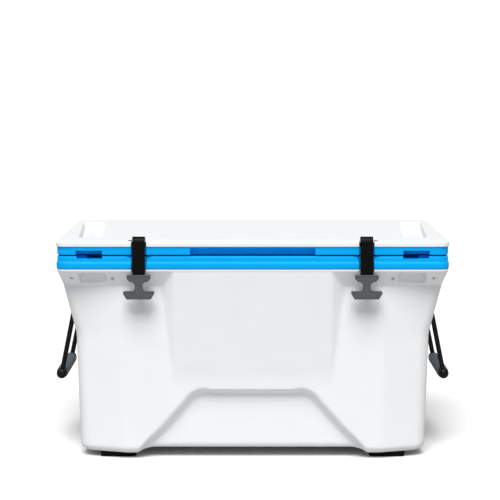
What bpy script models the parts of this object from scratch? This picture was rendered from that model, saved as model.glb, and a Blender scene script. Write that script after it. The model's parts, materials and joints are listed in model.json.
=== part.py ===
"""Hard-sided cooler chest: insulated body, hinged lid, two rubber latches, two bail handles and a drain.

Metres, +Z up. The front faces -Y, +X is to the right, and the feet stand on Z = 0.
"""
import math

import bmesh
import bpy
from mathutils import Matrix, Vector

# ---- driving dimensions -------------------------------------------------------------------------
GAP = 0.0003                 # air between pieces that touch on the real chest
WALL = 0.005                 # wall of the moulded outer shells
FOAM_GAP = 0.0015            # air between the body foam and the outer shell
FOAM_TOP_Z = 0.3870
HALF_LENGTH = 0.391          # centre to the widest point of the rim
HALF_DEPTH = 0.215           # centre to the front of the rim
CORNER = 0.022               # plan radius of the rim and the lid

SHELL_EDGE = 0.016           # rounding of the body's bottom edge
SHELL_FOOT_X = 0.3505        # half lengths of the body, from the bottom up
SHELL_KINK_X = 0.3575
SHELL_FLARE_X = 0.3597
SHELL_BAND_X = 0.3830
SHELL_TOP_X = 0.3900

FOOT_HEIGHT = 0.0106
RAIL_Z = 0.0109              # underside of the two rails that carry the feet
BELLY_Z = 0.0229             # underside between the rails
CAVITY_FLOOR_Z = 0.028       # floor of the hollow in the outer shell
KINK_Z = 0.250               # the end walls flare out above this level
BAND_LOW_Z = 0.3532          # undercut band below the rim, lower edge
BAND_HIGH_Z = 0.3866         # undercut band below the rim, upper edge
RIM_LOW_Z = 0.3900
RIM_HIGH_Z = 0.4158
LID_LOW_Z = 0.4185
LID_SEAM_Z = 0.4347          # white lid top meets the blue lid base
LID_HIGH_Z = 0.4480

PILASTER_Y = 0.194           # front face on each side of the centre panel
FACET_X = 0.2635             # where the front face turns into the corner facet
FACET_DEPTH = 0.026          # how far the facet runs back
PANEL_HALF = 0.158           # flat of the centre panel
PANEL_END_Z = 0.157          # the centre panel fades out here

LATCH_X = 0.2257
STRAP_WIDTH = 0.025
CHANNEL_HALF = 0.0145        # channel that the strap lies in
CHANNEL_Y = 0.2065           # floor of that channel
PIN_Y, PIN_Z, PIN_RADIUS = -0.208, 0.4445, 0.0025
KNUCKLE_RADIUS = 0.0105
STRAP_FRONT_Y, STRAP_BACK_Y = -0.2195, -0.2130
TEE_TOP_Z, TEE_LOW_Z = 0.3796, 0.3316
TEE_FRONT_Y, TEE_BACK_Y = -0.2260, -0.2158

HINGE_X = 0.235
HINGE_Y, HINGE_Z = 0.2245, 0.4170
BARREL_RADIUS, ROD_RADIUS = 0.009, 0.004
LID_KNUCKLE_HALF, HINGE_HALF = 0.020, 0.045

RECESS_X = 0.345             # back wall of the handle recess
RECESS_HALF_Y = 0.118
RECESS_LOW_Z, RECESS_HIGH_Z = 0.205, 0.362
PIVOT_X, PIVOT_Z = 0.361, 0.325
GRIP_X, GRIP_Z = 0.396, 0.157
ARM_Y = 0.090
ARM_RADIUS = 0.005
GRIP_RADIUS = 0.012
BOSS_RADIUS = 0.0105

TUB_TOP = (0.315, 0.147, 0.030)      # half length, half depth and corner radius of the opening
TUB_FLOOR = (0.292, 0.122, 0.025)
TUB_FLOOR_Z = 0.060
TUB_WALL = 0.004
PLUG = (0.309, 0.141, 0.026)         # the same three sizes of the plug under the lid
PLUG_HOLLOW = (0.304, 0.136, 0.022)
PLUG_LOW_Z = 0.3990
GASKET = (0.345, 0.177, 0.032)       # middle line of the gasket's ring
GASKET_HALF = 0.0045

LOCK_SLOT = (0.299, 0.350)           # lid slot and rim notch for a padlock or a tie-down strap
LOCK_HOLE = (0.300, 0.328)           # the part of it that runs down through the rim
FINGER_HALF = 0.1235
FOOT_X, FOOT_Y = 0.274, 0.150
FOOT_HALF = (0.036, 0.020)
DRAIN_Z = 0.0745
DRAIN_X = 0.339                      # flange of the drain sits on this plane
ACCESSORY_X = (0.279, 0.361)
ACCESSORY_Z = 0.3705
SCREW_HOLE = 0.0023                  # radius of the clearance hole of a bracket or foot screw
SCREW_HEAD, SCREW_SHANK = 0.0042, 0.0020
SIDES = ((-1, "left"), (1, "right"))
ENDS = ((-1, "front"), (1, "rear"))

COLOURS = {
    "white": ((0.86, 0.87, 0.87), 0.55, 0.0),
    "blue": ((0.0, 0.42, 0.90), 0.45, 0.0),
    "tub": ((0.84, 0.85, 0.85), 0.55, 0.0),
    "foam": ((0.85, 0.72, 0.42), 0.95, 0.0),
    "black_rubber": ((0.012, 0.012, 0.014), 0.75, 0.0),
    "grey_plastic": ((0.075, 0.078, 0.085), 0.6, 0.0),
    "grip": ((0.12, 0.14, 0.15), 0.8, 0.0),
    "black_metal": ((0.01, 0.01, 0.011), 0.5, 0.0),
    "steel": ((0.62, 0.62, 0.63), 0.3, 1.0),
    "dark_plastic": ((0.02, 0.02, 0.022), 0.55, 0.0),
}


# ---- mesh helpers -------------------------------------------------------------------------------
def material(name):
    """The finish of that name, made on first use."""
    if name in bpy.data.materials:
        return bpy.data.materials[name]
    colour, roughness, metallic = COLOURS[name]
    made = bpy.data.materials.new(name)
    made.use_nodes = True
    shader = made.node_tree.nodes["Principled BSDF"]
    shader.inputs["Base Color"].default_value = (*colour, 1.0)
    shader.inputs["Roughness"].default_value = roughness
    shader.inputs["Metallic"].default_value = metallic
    made.diffuse_color = (*colour, 1.0)
    return made


def add_object(name, bm):
    """Turn a bmesh into a linked object with outward faces."""
    bmesh.ops.remove_doubles(bm, verts=bm.verts, dist=1e-6)
    bmesh.ops.recalc_face_normals(bm, faces=bm.faces)
    mesh = bpy.data.meshes.new(name)
    bm.to_mesh(mesh)
    bm.free()
    made = bpy.data.objects.new(name, mesh)
    bpy.context.collection.objects.link(made)
    return made


def finish(made, finish_name, smooth_angle=32):
    """Give a part its own material and smooth round faces."""
    own = material(finish_name).copy()
    own.name = f"{made.name}_{finish_name}"
    made.data.materials.clear()
    made.data.materials.append(own)
    made.data.shade_smooth()
    made.data.set_sharp_from_angle(angle=math.radians(smooth_angle))
    return made


def combine(target, others, operation):
    """Join (UNION) or cut (DIFFERENCE) the target with other solids, and remove those."""
    for other in others:
        modifier = target.modifiers.new("combine", "BOOLEAN")
        modifier.operation = operation
        modifier.solver = "EXACT"
        modifier.object = other
    bpy.context.view_layer.update()
    evaluated = target.evaluated_get(bpy.context.evaluated_depsgraph_get())
    result = bpy.data.meshes.new_from_object(evaluated)
    target.modifiers.clear()
    target.data = result
    for other in others:
        bpy.data.objects.remove(other)
    return target


def cut(target, others):
    """Cut the target with other solids."""
    return combine(target, others, "DIFFERENCE")


def join(target, others):
    """Join other solids onto the target."""
    return combine(target, others, "UNION")


def rounded_polygon(corners, steps):
    """Outline of a polygon whose corners (x, y, radius) are arcs of that many steps."""
    outline = []
    for index, (x, y, radius) in enumerate(corners):
        here = Vector((x, y))
        before = (Vector(corners[index - 1][:2]) - here).normalized()
        after = (Vector(corners[(index + 1) % len(corners)][:2]) - here).normalized()
        half_angle = before.angle(after) / 2
        bisector = (before + after).normalized()
        centre = here + bisector * radius / math.sin(half_angle)
        start = here + before * radius / math.tan(half_angle) - centre
        end = here + after * radius / math.tan(half_angle) - centre
        sweep = math.atan2(start.x * end.y - start.y * end.x, start.dot(end))
        for step in range(steps + 1):
            turned = Matrix.Rotation(sweep * step / steps, 2) @ start
            outline.append((centre.x + turned.x, centre.y + turned.y))
    return outline


def rectangle(half_x, half_y, radius, steps=5):
    """Rectangle around the origin with rounded corners."""
    corners = [(-half_x, -half_y), (half_x, -half_y), (half_x, half_y), (-half_x, half_y)]
    return rounded_polygon([(x, y, radius) for x, y in corners], steps)


def loft(name, sections, axis="Z", split=False):
    """Closed solid through outlines at rising stations along an axis.

    Twisted sides are split the same way each time, so that nested forms keep their distance.
    """
    place = {
        "X": lambda a, b, c: (c, a, b),
        "Y": lambda a, b, c: (a, c, b),
        "Z": lambda a, b, c: (a, b, c),
    }[axis]
    bm = bmesh.new()
    rings = [[bm.verts.new(place(a, b, station)) for a, b in outline] for outline, station in sections]
    for lower, upper in zip(rings, rings[1:]):
        for index in range(len(lower)):
            bm.faces.new((lower[index - 1], lower[index], upper[index], upper[index - 1]))
    if split:
        bmesh.ops.triangulate(bm, faces=bm.faces, quad_method="FIXED")
    bm.faces.new(rings[0])
    bm.faces.new(rings[-1])
    return add_object(name, bm)


def prism(name, outline, low, high, axis="Z"):
    """Outline pushed along an axis from low to high."""
    return loft(name, [(outline, low), (outline, high)], axis)


def box(name, low, high):
    """Box between two opposite corners."""
    outline = [(low[0], low[1]), (high[0], low[1]), (high[0], high[1]), (low[0], high[1])]
    return prism(name, outline, low[2], high[2])


def lathe(name, profile, place, steps=24):
    """Solid of revolution: profile (radius, height) about local Z, then placed by a matrix."""
    bm = bmesh.new()
    verts = [bm.verts.new((radius, 0.0, height)) for radius, height in profile]
    edges = [bm.edges.new(pair) for pair in zip(verts, verts[1:])]
    if profile[0][0] > 0:
        edges.append(bm.edges.new((verts[-1], verts[0])))
    bmesh.ops.spin(bm, geom=verts + edges, cent=(0, 0, 0), axis=(0, 0, 1), angle=2 * math.pi,
                   steps=steps, use_merge=True, use_duplicate=False)
    bmesh.ops.transform(bm, matrix=place, verts=bm.verts)
    return add_object(name, bm)


def rod(name, start, end, radius, steps=24):
    """Plain cylinder between two points."""
    start, end = Vector(start), Vector(end)
    length = (end - start).length
    turn = Vector((0, 0, 1)).rotation_difference(end - start).to_matrix().to_4x4()
    profile = [(0, 0), (radius, 0), (radius, length), (0, length)]
    return lathe(name, profile, Matrix.Translation(start) @ turn, steps)


def sweep(name, path, radii, steps=12):
    """Round bar through the path points, with a radius at each."""
    bm = bmesh.new()
    rings = []
    points = [Vector(point) for point in path]
    for index, (point, radius) in enumerate(zip(points, radii)):
        ahead = points[min(index + 1, len(points) - 1)] - points[max(index - 1, 0)]
        side = ahead.normalized().cross(Vector((1, 0, 0.21))).normalized()
        other = ahead.normalized().cross(side)
        ring = []
        for step in range(steps):
            angle = 2 * math.pi * step / steps
            ring.append(bm.verts.new(point + radius * (math.cos(angle) * side + math.sin(angle) * other)))
        rings.append(ring)
    for lower, upper in zip(rings, rings[1:]):
        for index in range(steps):
            bm.faces.new((lower[index - 1], lower[index], upper[index], upper[index - 1]))
    bm.faces.new(rings[0])
    bm.faces.new(rings[-1])
    return add_object(name, bm)


def screw(name, seat, direction, head_radius, shank_radius, shank_length, finish_name="steel"):
    """Pan-head screw: the head stands on the seat, and the shank runs along the direction."""
    head = head_radius * 0.5
    turn = Vector((0, 0, 1)).rotation_difference(Vector(direction)).to_matrix().to_4x4()
    profile = [(0, -head * 0.6), (head_radius * 0.45, -head), (head_radius, -head * 0.5),
               (head_radius, -GAP), (shank_radius, -GAP), (shank_radius, shank_length - shank_radius),
               (0, shank_length)]
    made = lathe(name, profile, Matrix.Translation(Vector(seat)) @ turn, 12)
    return finish(made, finish_name)


def mirrored(outline):
    """The outline and its mirror image across x = 0, as one closed outline."""
    return outline + [(-x, y) for x, y in reversed(outline)]


# ---- body ---------------------------------------------------------------------------------------
def body_outline(half_length, half_depth, facet_depth, radius, inset):
    """Plan outline of the body at one level: flat front and back, turned corners, flat ends."""
    end = half_length - inset
    front = half_depth - inset
    quarter = [(FACET_X, -front, 0.006), (end, -front + max(facet_depth, 0.0004), radius)]
    right = quarter + [(x, -y, r) for x, y, r in reversed(quarter)]
    corners = right + [(-x, y, r) for x, y, r in reversed(right)]
    return rounded_polygon(corners, 4)


def body_blank(name, inset=0.0, low=RAIL_Z, high=RIM_LOW_Z - GAP):
    """Outer form of the body, drawn in by inset."""
    levels = []
    for step in range(5):
        angle = math.radians(90) * step / 4
        levels.append((RAIL_Z + SHELL_EDGE * (1 - math.cos(angle)), SHELL_FOOT_X, PILASTER_Y, FACET_DEPTH,
                       0.02, SHELL_EDGE * (1 - math.sin(angle))))
    levels.append((KINK_Z, SHELL_KINK_X, PILASTER_Y, FACET_DEPTH, 0.02, 0))
    levels.append((KINK_Z + 0.012, SHELL_FLARE_X, PILASTER_Y, FACET_DEPTH, 0.02, 0))
    levels.append((BAND_LOW_Z, SHELL_BAND_X, PILASTER_Y, FACET_DEPTH, 0.02, 0))
    levels.append((BAND_HIGH_Z, SHELL_TOP_X, HALF_DEPTH, 0, CORNER, 0))
    levels.append((0.5, SHELL_TOP_X, HALF_DEPTH, 0, CORNER, 0))
    sections = []
    for z, half_length, half_depth, facet, radius, edge_inset in levels:
        station = min(max(z, low), high)
        if sections and station - sections[-1][1] < 1e-5:
            sections.pop()
        cut_off = z <= low and low > RAIL_Z
        drawn_in = inset if cut_off else inset + edge_inset
        sections.append((body_outline(half_length, half_depth, facet, radius, drawn_in), station))
    return loft(name, sections, split=True)


def centre_panel(name, side, inset=0.0):
    """Wedge that brings the middle of the face out to the rim; side is -1 front, +1 back."""
    sections = []
    slope = (HALF_DEPTH - PILASTER_Y) / (RIM_LOW_Z - PANEL_END_Z)
    for z in (PANEL_END_Z - 0.02, BAND_LOW_Z, RIM_LOW_Z - GAP):
        proud = slope * (z - PANEL_END_Z)
        face = PILASTER_Y + proud - inset
        foot = PANEL_HALF + 1.45 * max(proud, 0.0) + 0.001
        root = face - proud - 0.012
        outline = mirrored([(foot - inset, side * root), (foot - inset, side * (face - proud)),
                            (PANEL_HALF - inset, side * face)])
        sections.append((outline, z))
    return loft(name, sections, split=True)


def arch_cutter(side, grow=0.0):
    """Shallow arch in the face: sloped ledge outside, flat panel inside."""
    def arch(top, half_top, drop):
        low_z = -0.02
        half_low = 0.2205 + (0.0253 - low_z) * 0.92 - drop
        return rounded_polygon([(-half_low - grow, low_z, 0.001), (half_low + grow, low_z, 0.001),
                                (half_top + grow, top + grow, 0.030), (-half_top - grow, top + grow, 0.030)], 4)
    outer = arch(0.1450, 0.116, 0.0)
    inner = arch(0.1280, 0.108, 0.014)
    stations = [(outer, 0.25), (outer, PILASTER_Y - 0.0012 - grow), (inner, 0.1785 - grow)]
    if side < 0:
        stations = [(outline, -station) for outline, station in stations]
    return loft("arch", stations, "Y")


def belly_cutter(grow=0.0):
    """Space between the two rails under the body."""
    outline = mirrored([(0.234 + grow, -0.02), (0.233 + grow, RAIL_Z), (0.2205 + grow, 0.0195 + grow),
                        (0.1985, BELLY_Z + grow)])
    return prism("belly", outline, -0.3, 0.3, "Y")


def handle_recess(side, grow=0.0):
    """Recess in an end wall behind the bail handle."""
    corners = [(-RECESS_HALF_Y - grow, RECESS_LOW_Z - grow, 0.018),
               (RECESS_HALF_Y + grow, RECESS_LOW_Z - grow, 0.018),
               (RECESS_HALF_Y + grow, RECESS_HIGH_Z + grow, 0.018),
               (-RECESS_HALF_Y - grow, RECESS_HIGH_Z + grow, 0.018)]
    return prism("recess", rounded_polygon(corners, 3), side * (RECESS_X - grow), side * 0.45, "X")


def strap_channel(side, grow=0.0, low=0.366, high=0.46):
    """Channel across the front that a latch strap lies in."""
    centre = side * LATCH_X
    return box("channel", (centre - CHANNEL_HALF - grow, -0.3, low - grow),
               (centre + CHANNEL_HALF + grow, -CHANNEL_Y + grow, high))


def tie_pocket(side, grow=0.0):
    """Scooped pocket in the undercut band, under the lock slot."""
    sections = []
    for z, inner, outer, back in ((0.3515 - grow, 0.2905, 0.3435, 0.1935),
                                  (0.366, 0.2905, 0.3445, 0.1860),
                                  (0.3740, 0.2915, 0.3455, 0.1860),
                                  (0.383 + grow, 0.3005, 0.3465, 0.1880)):
        low_x, high_x = sorted((side * (inner - grow), side * (outer + grow)))
        outline = [(low_x, -0.3), (high_x, -0.3), (high_x, -back + grow), (low_x, -back + grow)]
        sections.append((outline, z))
    return loft("tie_pocket", sections)


def lock_hole(side, grow=0.0):
    """Hole from the rim notch down into the tie-down pocket."""
    low_x, high_x = sorted((side * (LOCK_HOLE[0] - grow), side * (LOCK_HOLE[1] + grow)))
    return box("lock_hole", (low_x, -0.2105 - grow, 0.378), (high_x, -0.1935 + grow, 0.43))


def band_normal():
    """Outward direction of the undercut band on the front."""
    run = Vector((0, HALF_DEPTH - PILASTER_Y, BAND_LOW_Z - BAND_HIGH_Z))
    return Vector((0, run.z, -run.y)).normalized()


def accessory_seat(x):
    """Point on the undercut band where an accessory screw sits, 1 mm below the face."""
    share = (BAND_HIGH_Z - ACCESSORY_Z) / (BAND_HIGH_Z - BAND_LOW_Z)
    setback = FACET_DEPTH * max(abs(x) - FACET_X, 0) / (SHELL_BAND_X - FACET_X) * share
    y = -HALF_DEPTH + (HALF_DEPTH - PILASTER_Y) * share + setback
    return Vector((x, y, ACCESSORY_Z)) - band_normal() * 0.001


def accessory_bore(x, radius, reach):
    """Cylinder along an accessory screw."""
    seat = accessory_seat(x)
    return rod("accessory_bore", seat + band_normal() * 0.012, seat - band_normal() * reach, radius, 10)


def bracket_screw_points(side):
    """Seats of the four screws of one handle's brackets, on the recess wall."""
    points = []
    for end in (-1, 1):
        for rise in (-0.016, 0.016):
            points.append(Vector((side * RECESS_X, end * 0.1055, PIVOT_Z + rise)))
    return points


def bracket_bore(point, radius, reach):
    """Cylinder along a bracket screw, from the recess wall inwards."""
    inward = -1 if point.x > 0 else 1
    start = point - Vector((inward * 0.01, 0, 0))
    return rod("bracket_bore", start, point + Vector((inward * reach, 0, 0)), radius, 10)


def foot_points():
    """Centres of the four feet."""
    return [(sx * FOOT_X, sy * FOOT_Y) for sx in (-1, 1) for sy in (-1, 1)]


def body_cutters(grow=0.0):
    """Everything that is taken out of the outside of the body, or kept clear inside it."""
    cutters = [belly_cutter(grow)]
    for side in (-1, 1):
        cutters += [arch_cutter(side, grow), handle_recess(side, grow), strap_channel(side, grow),
                    tie_pocket(side, grow), lock_hole(side, grow)]
    recess = rod("drain_recess", (DRAIN_X - grow, 0, DRAIN_Z), (0.40, 0, DRAIN_Z), 0.030 + grow, 32)
    return cutters + [recess]


def make_tub_blank(name, grow, low, high=0.45):
    """Solid with the inner tub's form, larger by grow."""
    sections = []
    for share, z in ((0, low), (1, 0.4100), (1, high)):
        if sections and z <= sections[-1][1]:
            continue
        length, depth, radius = (a + (b - a) * share for a, b in zip(TUB_FLOOR, TUB_TOP))
        sections.append((rectangle(length + grow, depth + grow, radius + grow, 5), z))
    return loft(name, sections)


def make_body():
    """Outer shell, foam and inner tub."""
    shell = body_blank("body_shell")
    join(shell, [centre_panel("panel", side) for side in (-1, 1)])
    cut(shell, body_cutters())

    def hollow(name, inset, panel_inset, high):
        made = body_blank(name, inset, CAVITY_FLOOR_Z + inset - WALL, high)
        join(made, [centre_panel("panel_hollow", side, panel_inset) for side in (-1, 1)])
        cut(made, body_cutters(inset))
        bosses = [accessory_bore(side * x, inset, 0.016 + inset - WALL)
                  for side in (-1, 1) for x in ACCESSORY_X]
        bosses += [bracket_bore(point, inset, 0.013 + inset - WALL)
                   for side in (-1, 1) for point in bracket_screw_points(side)]
        return cut(made, bosses)

    cut(shell, [hollow("cavity", WALL, WALL, 0.44)])
    holes = []
    for side in (-1, 1):
        for x in ACCESSORY_X:
            holes += [accessory_bore(side * x, 0.0048, 0.0), accessory_bore(side * x, 0.0019, 0.0125)]
        holes += [bracket_bore(point, SCREW_HOLE, 0.0105) for point in bracket_screw_points(side)]
    holes += [rod("foot_hole", (x, y, 0), (x, y, RAIL_Z + 0.0125), SCREW_HOLE, 12) for x, y in foot_points()]
    holes += [rod("drain_hole", (0.30, 0, DRAIN_Z), (0.36, 0, DRAIN_Z), 0.0113, 24)]
    cut(shell, holes)
    finish(shell, "white")

    foam = hollow("body_foam", WALL + FOAM_GAP, WALL + 2 * FOAM_GAP, FOAM_TOP_Z)
    tunnel = rod("drain_tunnel", (0.28, 0, DRAIN_Z), (0.36, 0, DRAIN_Z), 0.0116, 24)
    cut(foam, [make_tub_blank("room", TUB_WALL + GAP, TUB_FLOOR_Z - TUB_WALL - GAP), tunnel])
    finish(foam, "foam")

    tub = make_tub_blank("inner_tub", TUB_WALL, TUB_FLOOR_Z - TUB_WALL, RIM_HIGH_Z - WALL - GAP)
    cut(tub, [make_tub_blank("inside", 0.0, TUB_FLOOR_Z),
              rod("drain_hole", (0.27, 0, DRAIN_Z), (0.36, 0, DRAIN_Z), 0.0113, 24)])
    finish(tub, "tub")


def rim_blank(name, inset, low=RIM_LOW_Z, high=RIM_HIGH_Z):
    """Outer form of the rim: a lower bead, a step and an upper land."""
    if inset:
        return prism(name, rectangle(HALF_LENGTH - inset, HALF_DEPTH - inset, CORNER - inset / 2), low, high)
    sections = []
    for z, drawn_in in ((RIM_LOW_Z, 0.0032), (RIM_LOW_Z + 0.0012, 0.0010), (RIM_LOW_Z + 0.0035, 0.0),
                        (0.4020, 0.0), (0.4045, 0.0016), (0.4140, 0.0020), (RIM_HIGH_Z, 0.0034)):
        sections.append((rectangle(HALF_LENGTH - drawn_in, HALF_DEPTH - drawn_in, CORNER), z))
    return loft(name, sections)


def lock_notch(side, grow=0.0):
    """Notch in the top front edge of the rim."""
    low_x, high_x = sorted((side * (LOCK_SLOT[0] - grow), side * (LOCK_SLOT[1] + grow)))
    return box("lock_notch", (low_x, -0.3, RIM_HIGH_Z - 0.0045 - grow), (high_x, -0.1935 + grow, 0.43))


def hinge_knuckle(centre, low, high, web_low_z, web_high_z):
    """Barrel and web between two stations along X, measured from the hinge's centre."""
    barrel = rod("barrel", (centre + low, HINGE_Y, HINGE_Z), (centre + high, HINGE_Y, HINGE_Z),
                 BARREL_RADIUS, 20)
    web = box("web", (centre + low, 0.2095, web_low_z), (centre + high, HINGE_Y + 0.0045, web_high_z))
    return join(barrel, [web])


def make_rim():
    """Blue rim ring that closes the body and carries the fixed hinge knuckles."""
    rim = rim_blank("body_rim", 0)
    channels = [strap_channel(side) for side in (-1, 1)]
    locks = [cutter(side) for side in (-1, 1) for cutter in (lock_notch, lock_hole)]
    hollow = rim_blank("rim_hollow", 0.006, RIM_LOW_Z - 0.01, RIM_HIGH_Z - WALL)
    kept = [cutter(side, WALL) for side in (-1, 1) for cutter in (strap_channel, lock_notch, lock_hole)]
    cut(hollow, kept)
    cut(rim, [hollow, make_tub_blank("opening", 0.0, 0.36)] + channels + locks)
    knuckles = []
    for side in (-1, 1):
        for low, high in ((-HINGE_HALF, -LID_KNUCKLE_HALF - 0.0005), (LID_KNUCKLE_HALF + 0.0005, HINGE_HALF)):
            knuckles.append(hinge_knuckle(side * HINGE_X, low, high, RIM_LOW_Z + 0.010, 0.4155))
    join(rim, knuckles)
    bores = [rod("bore", (side * HINGE_X - 0.06, HINGE_Y, HINGE_Z), (side * HINGE_X + 0.06, HINGE_Y, HINGE_Z),
                 ROD_RADIUS + GAP, 16) for side in (-1, 1)]
    cut(rim, bores)
    finish(rim, "blue")


# ---- lid ----------------------------------------------------------------------------------------
def lid_pocket(side, grow=0.0, low=LID_HIGH_Z - 0.0135, high=0.46):
    """Long tray in the lid top near one end, splayed outwards towards the back."""
    near, far = (0.302, 0.350), (0.323, 0.3715)
    corners = [(near[0] - grow, -0.160 - grow, 0.010), (near[1] + grow, -0.160 - grow, 0.010),
               (far[1] + grow, 0.148 + grow, 0.010), (far[0] - grow, 0.148 + grow, 0.010)]
    floor = [(near[0] - grow + 0.003, -0.156 - grow, 0.008), (near[1] + grow - 0.006, -0.156 - grow, 0.008),
             (far[1] + grow - 0.006, 0.144 + grow, 0.008), (far[0] - grow + 0.003, 0.144 + grow, 0.008)]
    rings = []
    for ring, station in ((floor, low - grow), (corners, LID_HIGH_Z - 0.001), (corners, high)):
        rings.append((rounded_polygon([(side * x, y, r) for x, y, r in ring], 4), station))
    return loft("lid_pocket", rings)


def latch_notch(side, grow=0.0):
    """Notch in the lid's front edge for the strap's knuckle, open above and in front."""
    centre = side * LATCH_X
    return box("notch", (centre - CHANNEL_HALF - grow, -0.3, PIN_Z - 0.0115 - grow),
               (centre + CHANNEL_HALF + grow, PIN_Y + 0.0115 + grow, 0.5))


def lock_slot(side, grow=0.0):
    """Slot in the lid base above the rim notch."""
    low_x, high_x = sorted((side * (LOCK_SLOT[0] - grow), side * (LOCK_SLOT[1] + grow)))
    return box("lock_slot", (low_x, -0.3, 0.41), (high_x, -0.1950 + grow, LID_LOW_Z + 0.0085 + grow))


def finger_recess(grow=0.0):
    """Scooped finger hold in the middle of the lid base."""
    outline = [(-0.3, 0.41), (-0.2005 + grow, 0.41), (-0.1990 + grow, LID_LOW_Z + 0.004),
               (-0.1995 + grow, LID_LOW_Z + 0.0095 + grow * 0.7), (-0.203 + grow, LID_LOW_Z + 0.0125 + grow * 0.5),
               (-0.3, LID_LOW_Z + 0.0140 + grow * 0.4)]
    return prism("finger", outline, -FINGER_HALF - grow, FINGER_HALF + grow, "X")


def pin_bores(radius, half):
    """Cylinders along the two latch pins."""
    return [rod("pin_bore", (side * LATCH_X - half, PIN_Y, PIN_Z), (side * LATCH_X + half, PIN_Y, PIN_Z),
                radius, 20) for side in (-1, 1)]


def make_lid():
    """White top shell, blue base with the plug, foam and gasket."""
    top_levels = [(LID_SEAM_Z + GAP, 0.0), (LID_HIGH_Z - 0.0055, 0.0)]
    for step in range(1, 5):
        angle = math.radians(90) * step / 4
        top_levels.append((LID_HIGH_Z - 0.0055 * (1 - math.sin(angle)), 0.0075 * (1 - math.cos(angle))))
    shell = loft("lid_shell", [(rectangle(HALF_LENGTH + 0.0003 - inset, HALF_DEPTH - inset, CORNER), z)
                               for z, inset in top_levels])
    hollow = prism("lid_hollow", rectangle(HALF_LENGTH - 0.0063, HALF_DEPTH - 0.006, CORNER - 0.004),
                   0.42, LID_HIGH_Z - WALL)
    cut(hollow, [cutter(side, WALL) for side in (-1, 1) for cutter in (lid_pocket, latch_notch)])
    cut(shell, [hollow])
    join(shell, [lid_pocket(side, 0.0035, LID_HIGH_Z - 0.0135, LID_HIGH_Z - 0.002) for side in (-1, 1)])
    cutters = [cutter(side) for side in (-1, 1) for cutter in (lid_pocket, latch_notch)]
    cut(shell, cutters + pin_bores(PIN_RADIUS + GAP, 0.0180))
    finish(shell, "white")

    band = rectangle(HALF_LENGTH - 0.0015, HALF_DEPTH - 0.0020, CORNER)
    plug = rectangle(*PLUG)
    base = loft("lid_liner", [(plug, PLUG_LOW_Z), (plug, LID_LOW_Z), (band, LID_LOW_Z), (band, LID_SEAM_Z)])
    wide = rectangle(HALF_LENGTH - 0.0095, HALF_DEPTH - 0.010, CORNER - 0.004)
    deep = rectangle(*PLUG_HOLLOW)
    hollow = loft("base_hollow", [(deep, PLUG_LOW_Z + WALL), (deep, LID_LOW_Z + WALL), (wide, LID_LOW_Z + WALL), (wide, 0.46)])
    kept = [finger_recess(WALL)]
    kept += [cutter(side, WALL) for side in (-1, 1) for cutter in (strap_channel, latch_notch, lock_slot)]
    cut(hollow, kept)
    groove = gasket_ring("groove", GASKET_HALF + GAP, LID_LOW_Z - 0.01, LID_LOW_Z + 0.0022)
    cutters = [finger_recess(), groove]
    cutters += [cutter(side) for side in (-1, 1) for cutter in (strap_channel, latch_notch, lock_slot)]
    cut(base, [hollow] + cutters)
    knuckles = [hinge_knuckle(side * HINGE_X, -LID_KNUCKLE_HALF, LID_KNUCKLE_HALF, LID_LOW_Z, 0.4262)
                for side in (-1, 1)]
    join(base, knuckles)
    cut(base, [rod("bore", (side * HINGE_X - 0.03, HINGE_Y, HINGE_Z), (side * HINGE_X + 0.03, HINGE_Y, HINGE_Z),
                   ROD_RADIUS + GAP, 16) for side in (-1, 1)])
    finish(base, "blue")

    wide = rectangle(HALF_LENGTH - 0.0098, HALF_DEPTH - 0.0103, CORNER - 0.004)
    deep = rectangle(PLUG_HOLLOW[0] - GAP, PLUG_HOLLOW[1] - GAP, PLUG_HOLLOW[2])
    foam = loft("lid_foam", [(deep, PLUG_LOW_Z + WALL + GAP), (deep, LID_LOW_Z + WALL + GAP),
                             (wide, LID_LOW_Z + WALL + GAP), (wide, LID_HIGH_Z - WALL - GAP)])
    kept = [finger_recess(WALL + GAP)]
    kept += [cutter(side, WALL + GAP) for side in (-1, 1)
             for cutter in (strap_channel, latch_notch, lock_slot, lid_pocket)]
    cut(foam, kept)
    finish(foam, "foam")

    finish(gasket_ring("lid_gasket", GASKET_HALF, RIM_HIGH_Z + GAP, LID_LOW_Z + 0.0019), "black_rubber")


def gasket_ring(name, half_width, low, high):
    """Closed ring around the tub's opening."""
    outside, inside = (rectangle(*[size + shift for size in GASKET]) for shift in (half_width, -half_width))
    return cut(prism(name, outside, low, high), [prism("inside", inside, low - 0.01, high + 0.01)])


def make_hinge_rods():
    """Two stainless rods that the lid turns on."""
    for side, label in SIDES:
        centre = side * HINGE_X
        length = HINGE_HALF - 0.001
        made = rod(f"hinge_rod_{label}", (centre - length, HINGE_Y, HINGE_Z), (centre + length, HINGE_Y, HINGE_Z),
                   ROD_RADIUS, 16)
        finish(made, "steel")


# ---- latches ------------------------------------------------------------------------------------
def arc(centre, radius, start, end, steps):
    """Points on an arc; angles in degrees."""
    points = []
    for step in range(steps + 1):
        angle = math.radians(start + (end - start) * step / steps)
        points.append((centre[0] + radius * math.cos(angle), centre[1] + radius * math.sin(angle)))
    return points


def tee_outline():
    """Half outline of the T-shaped pull, from its top middle down: (x, z)."""
    neck = 0.0075
    upper_fillet = arc((neck + 0.0090, 0.3578), 0.0090, 80, 180, 5)
    lower_fillet = arc((neck + 0.0062, 0.3538), 0.0062, 180, 270, 4)
    return [(0.0225, TEE_TOP_Z), (0.0233, TEE_TOP_Z - 0.001), (0.0233, 0.3730), (0.0195, 0.3685)] \
        + upper_fillet + lower_fillet \
        + [(0.0295, 0.3476), (0.0306, 0.3466), (0.0306, 0.3425), (0.0240, TEE_LOW_Z)]


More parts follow.
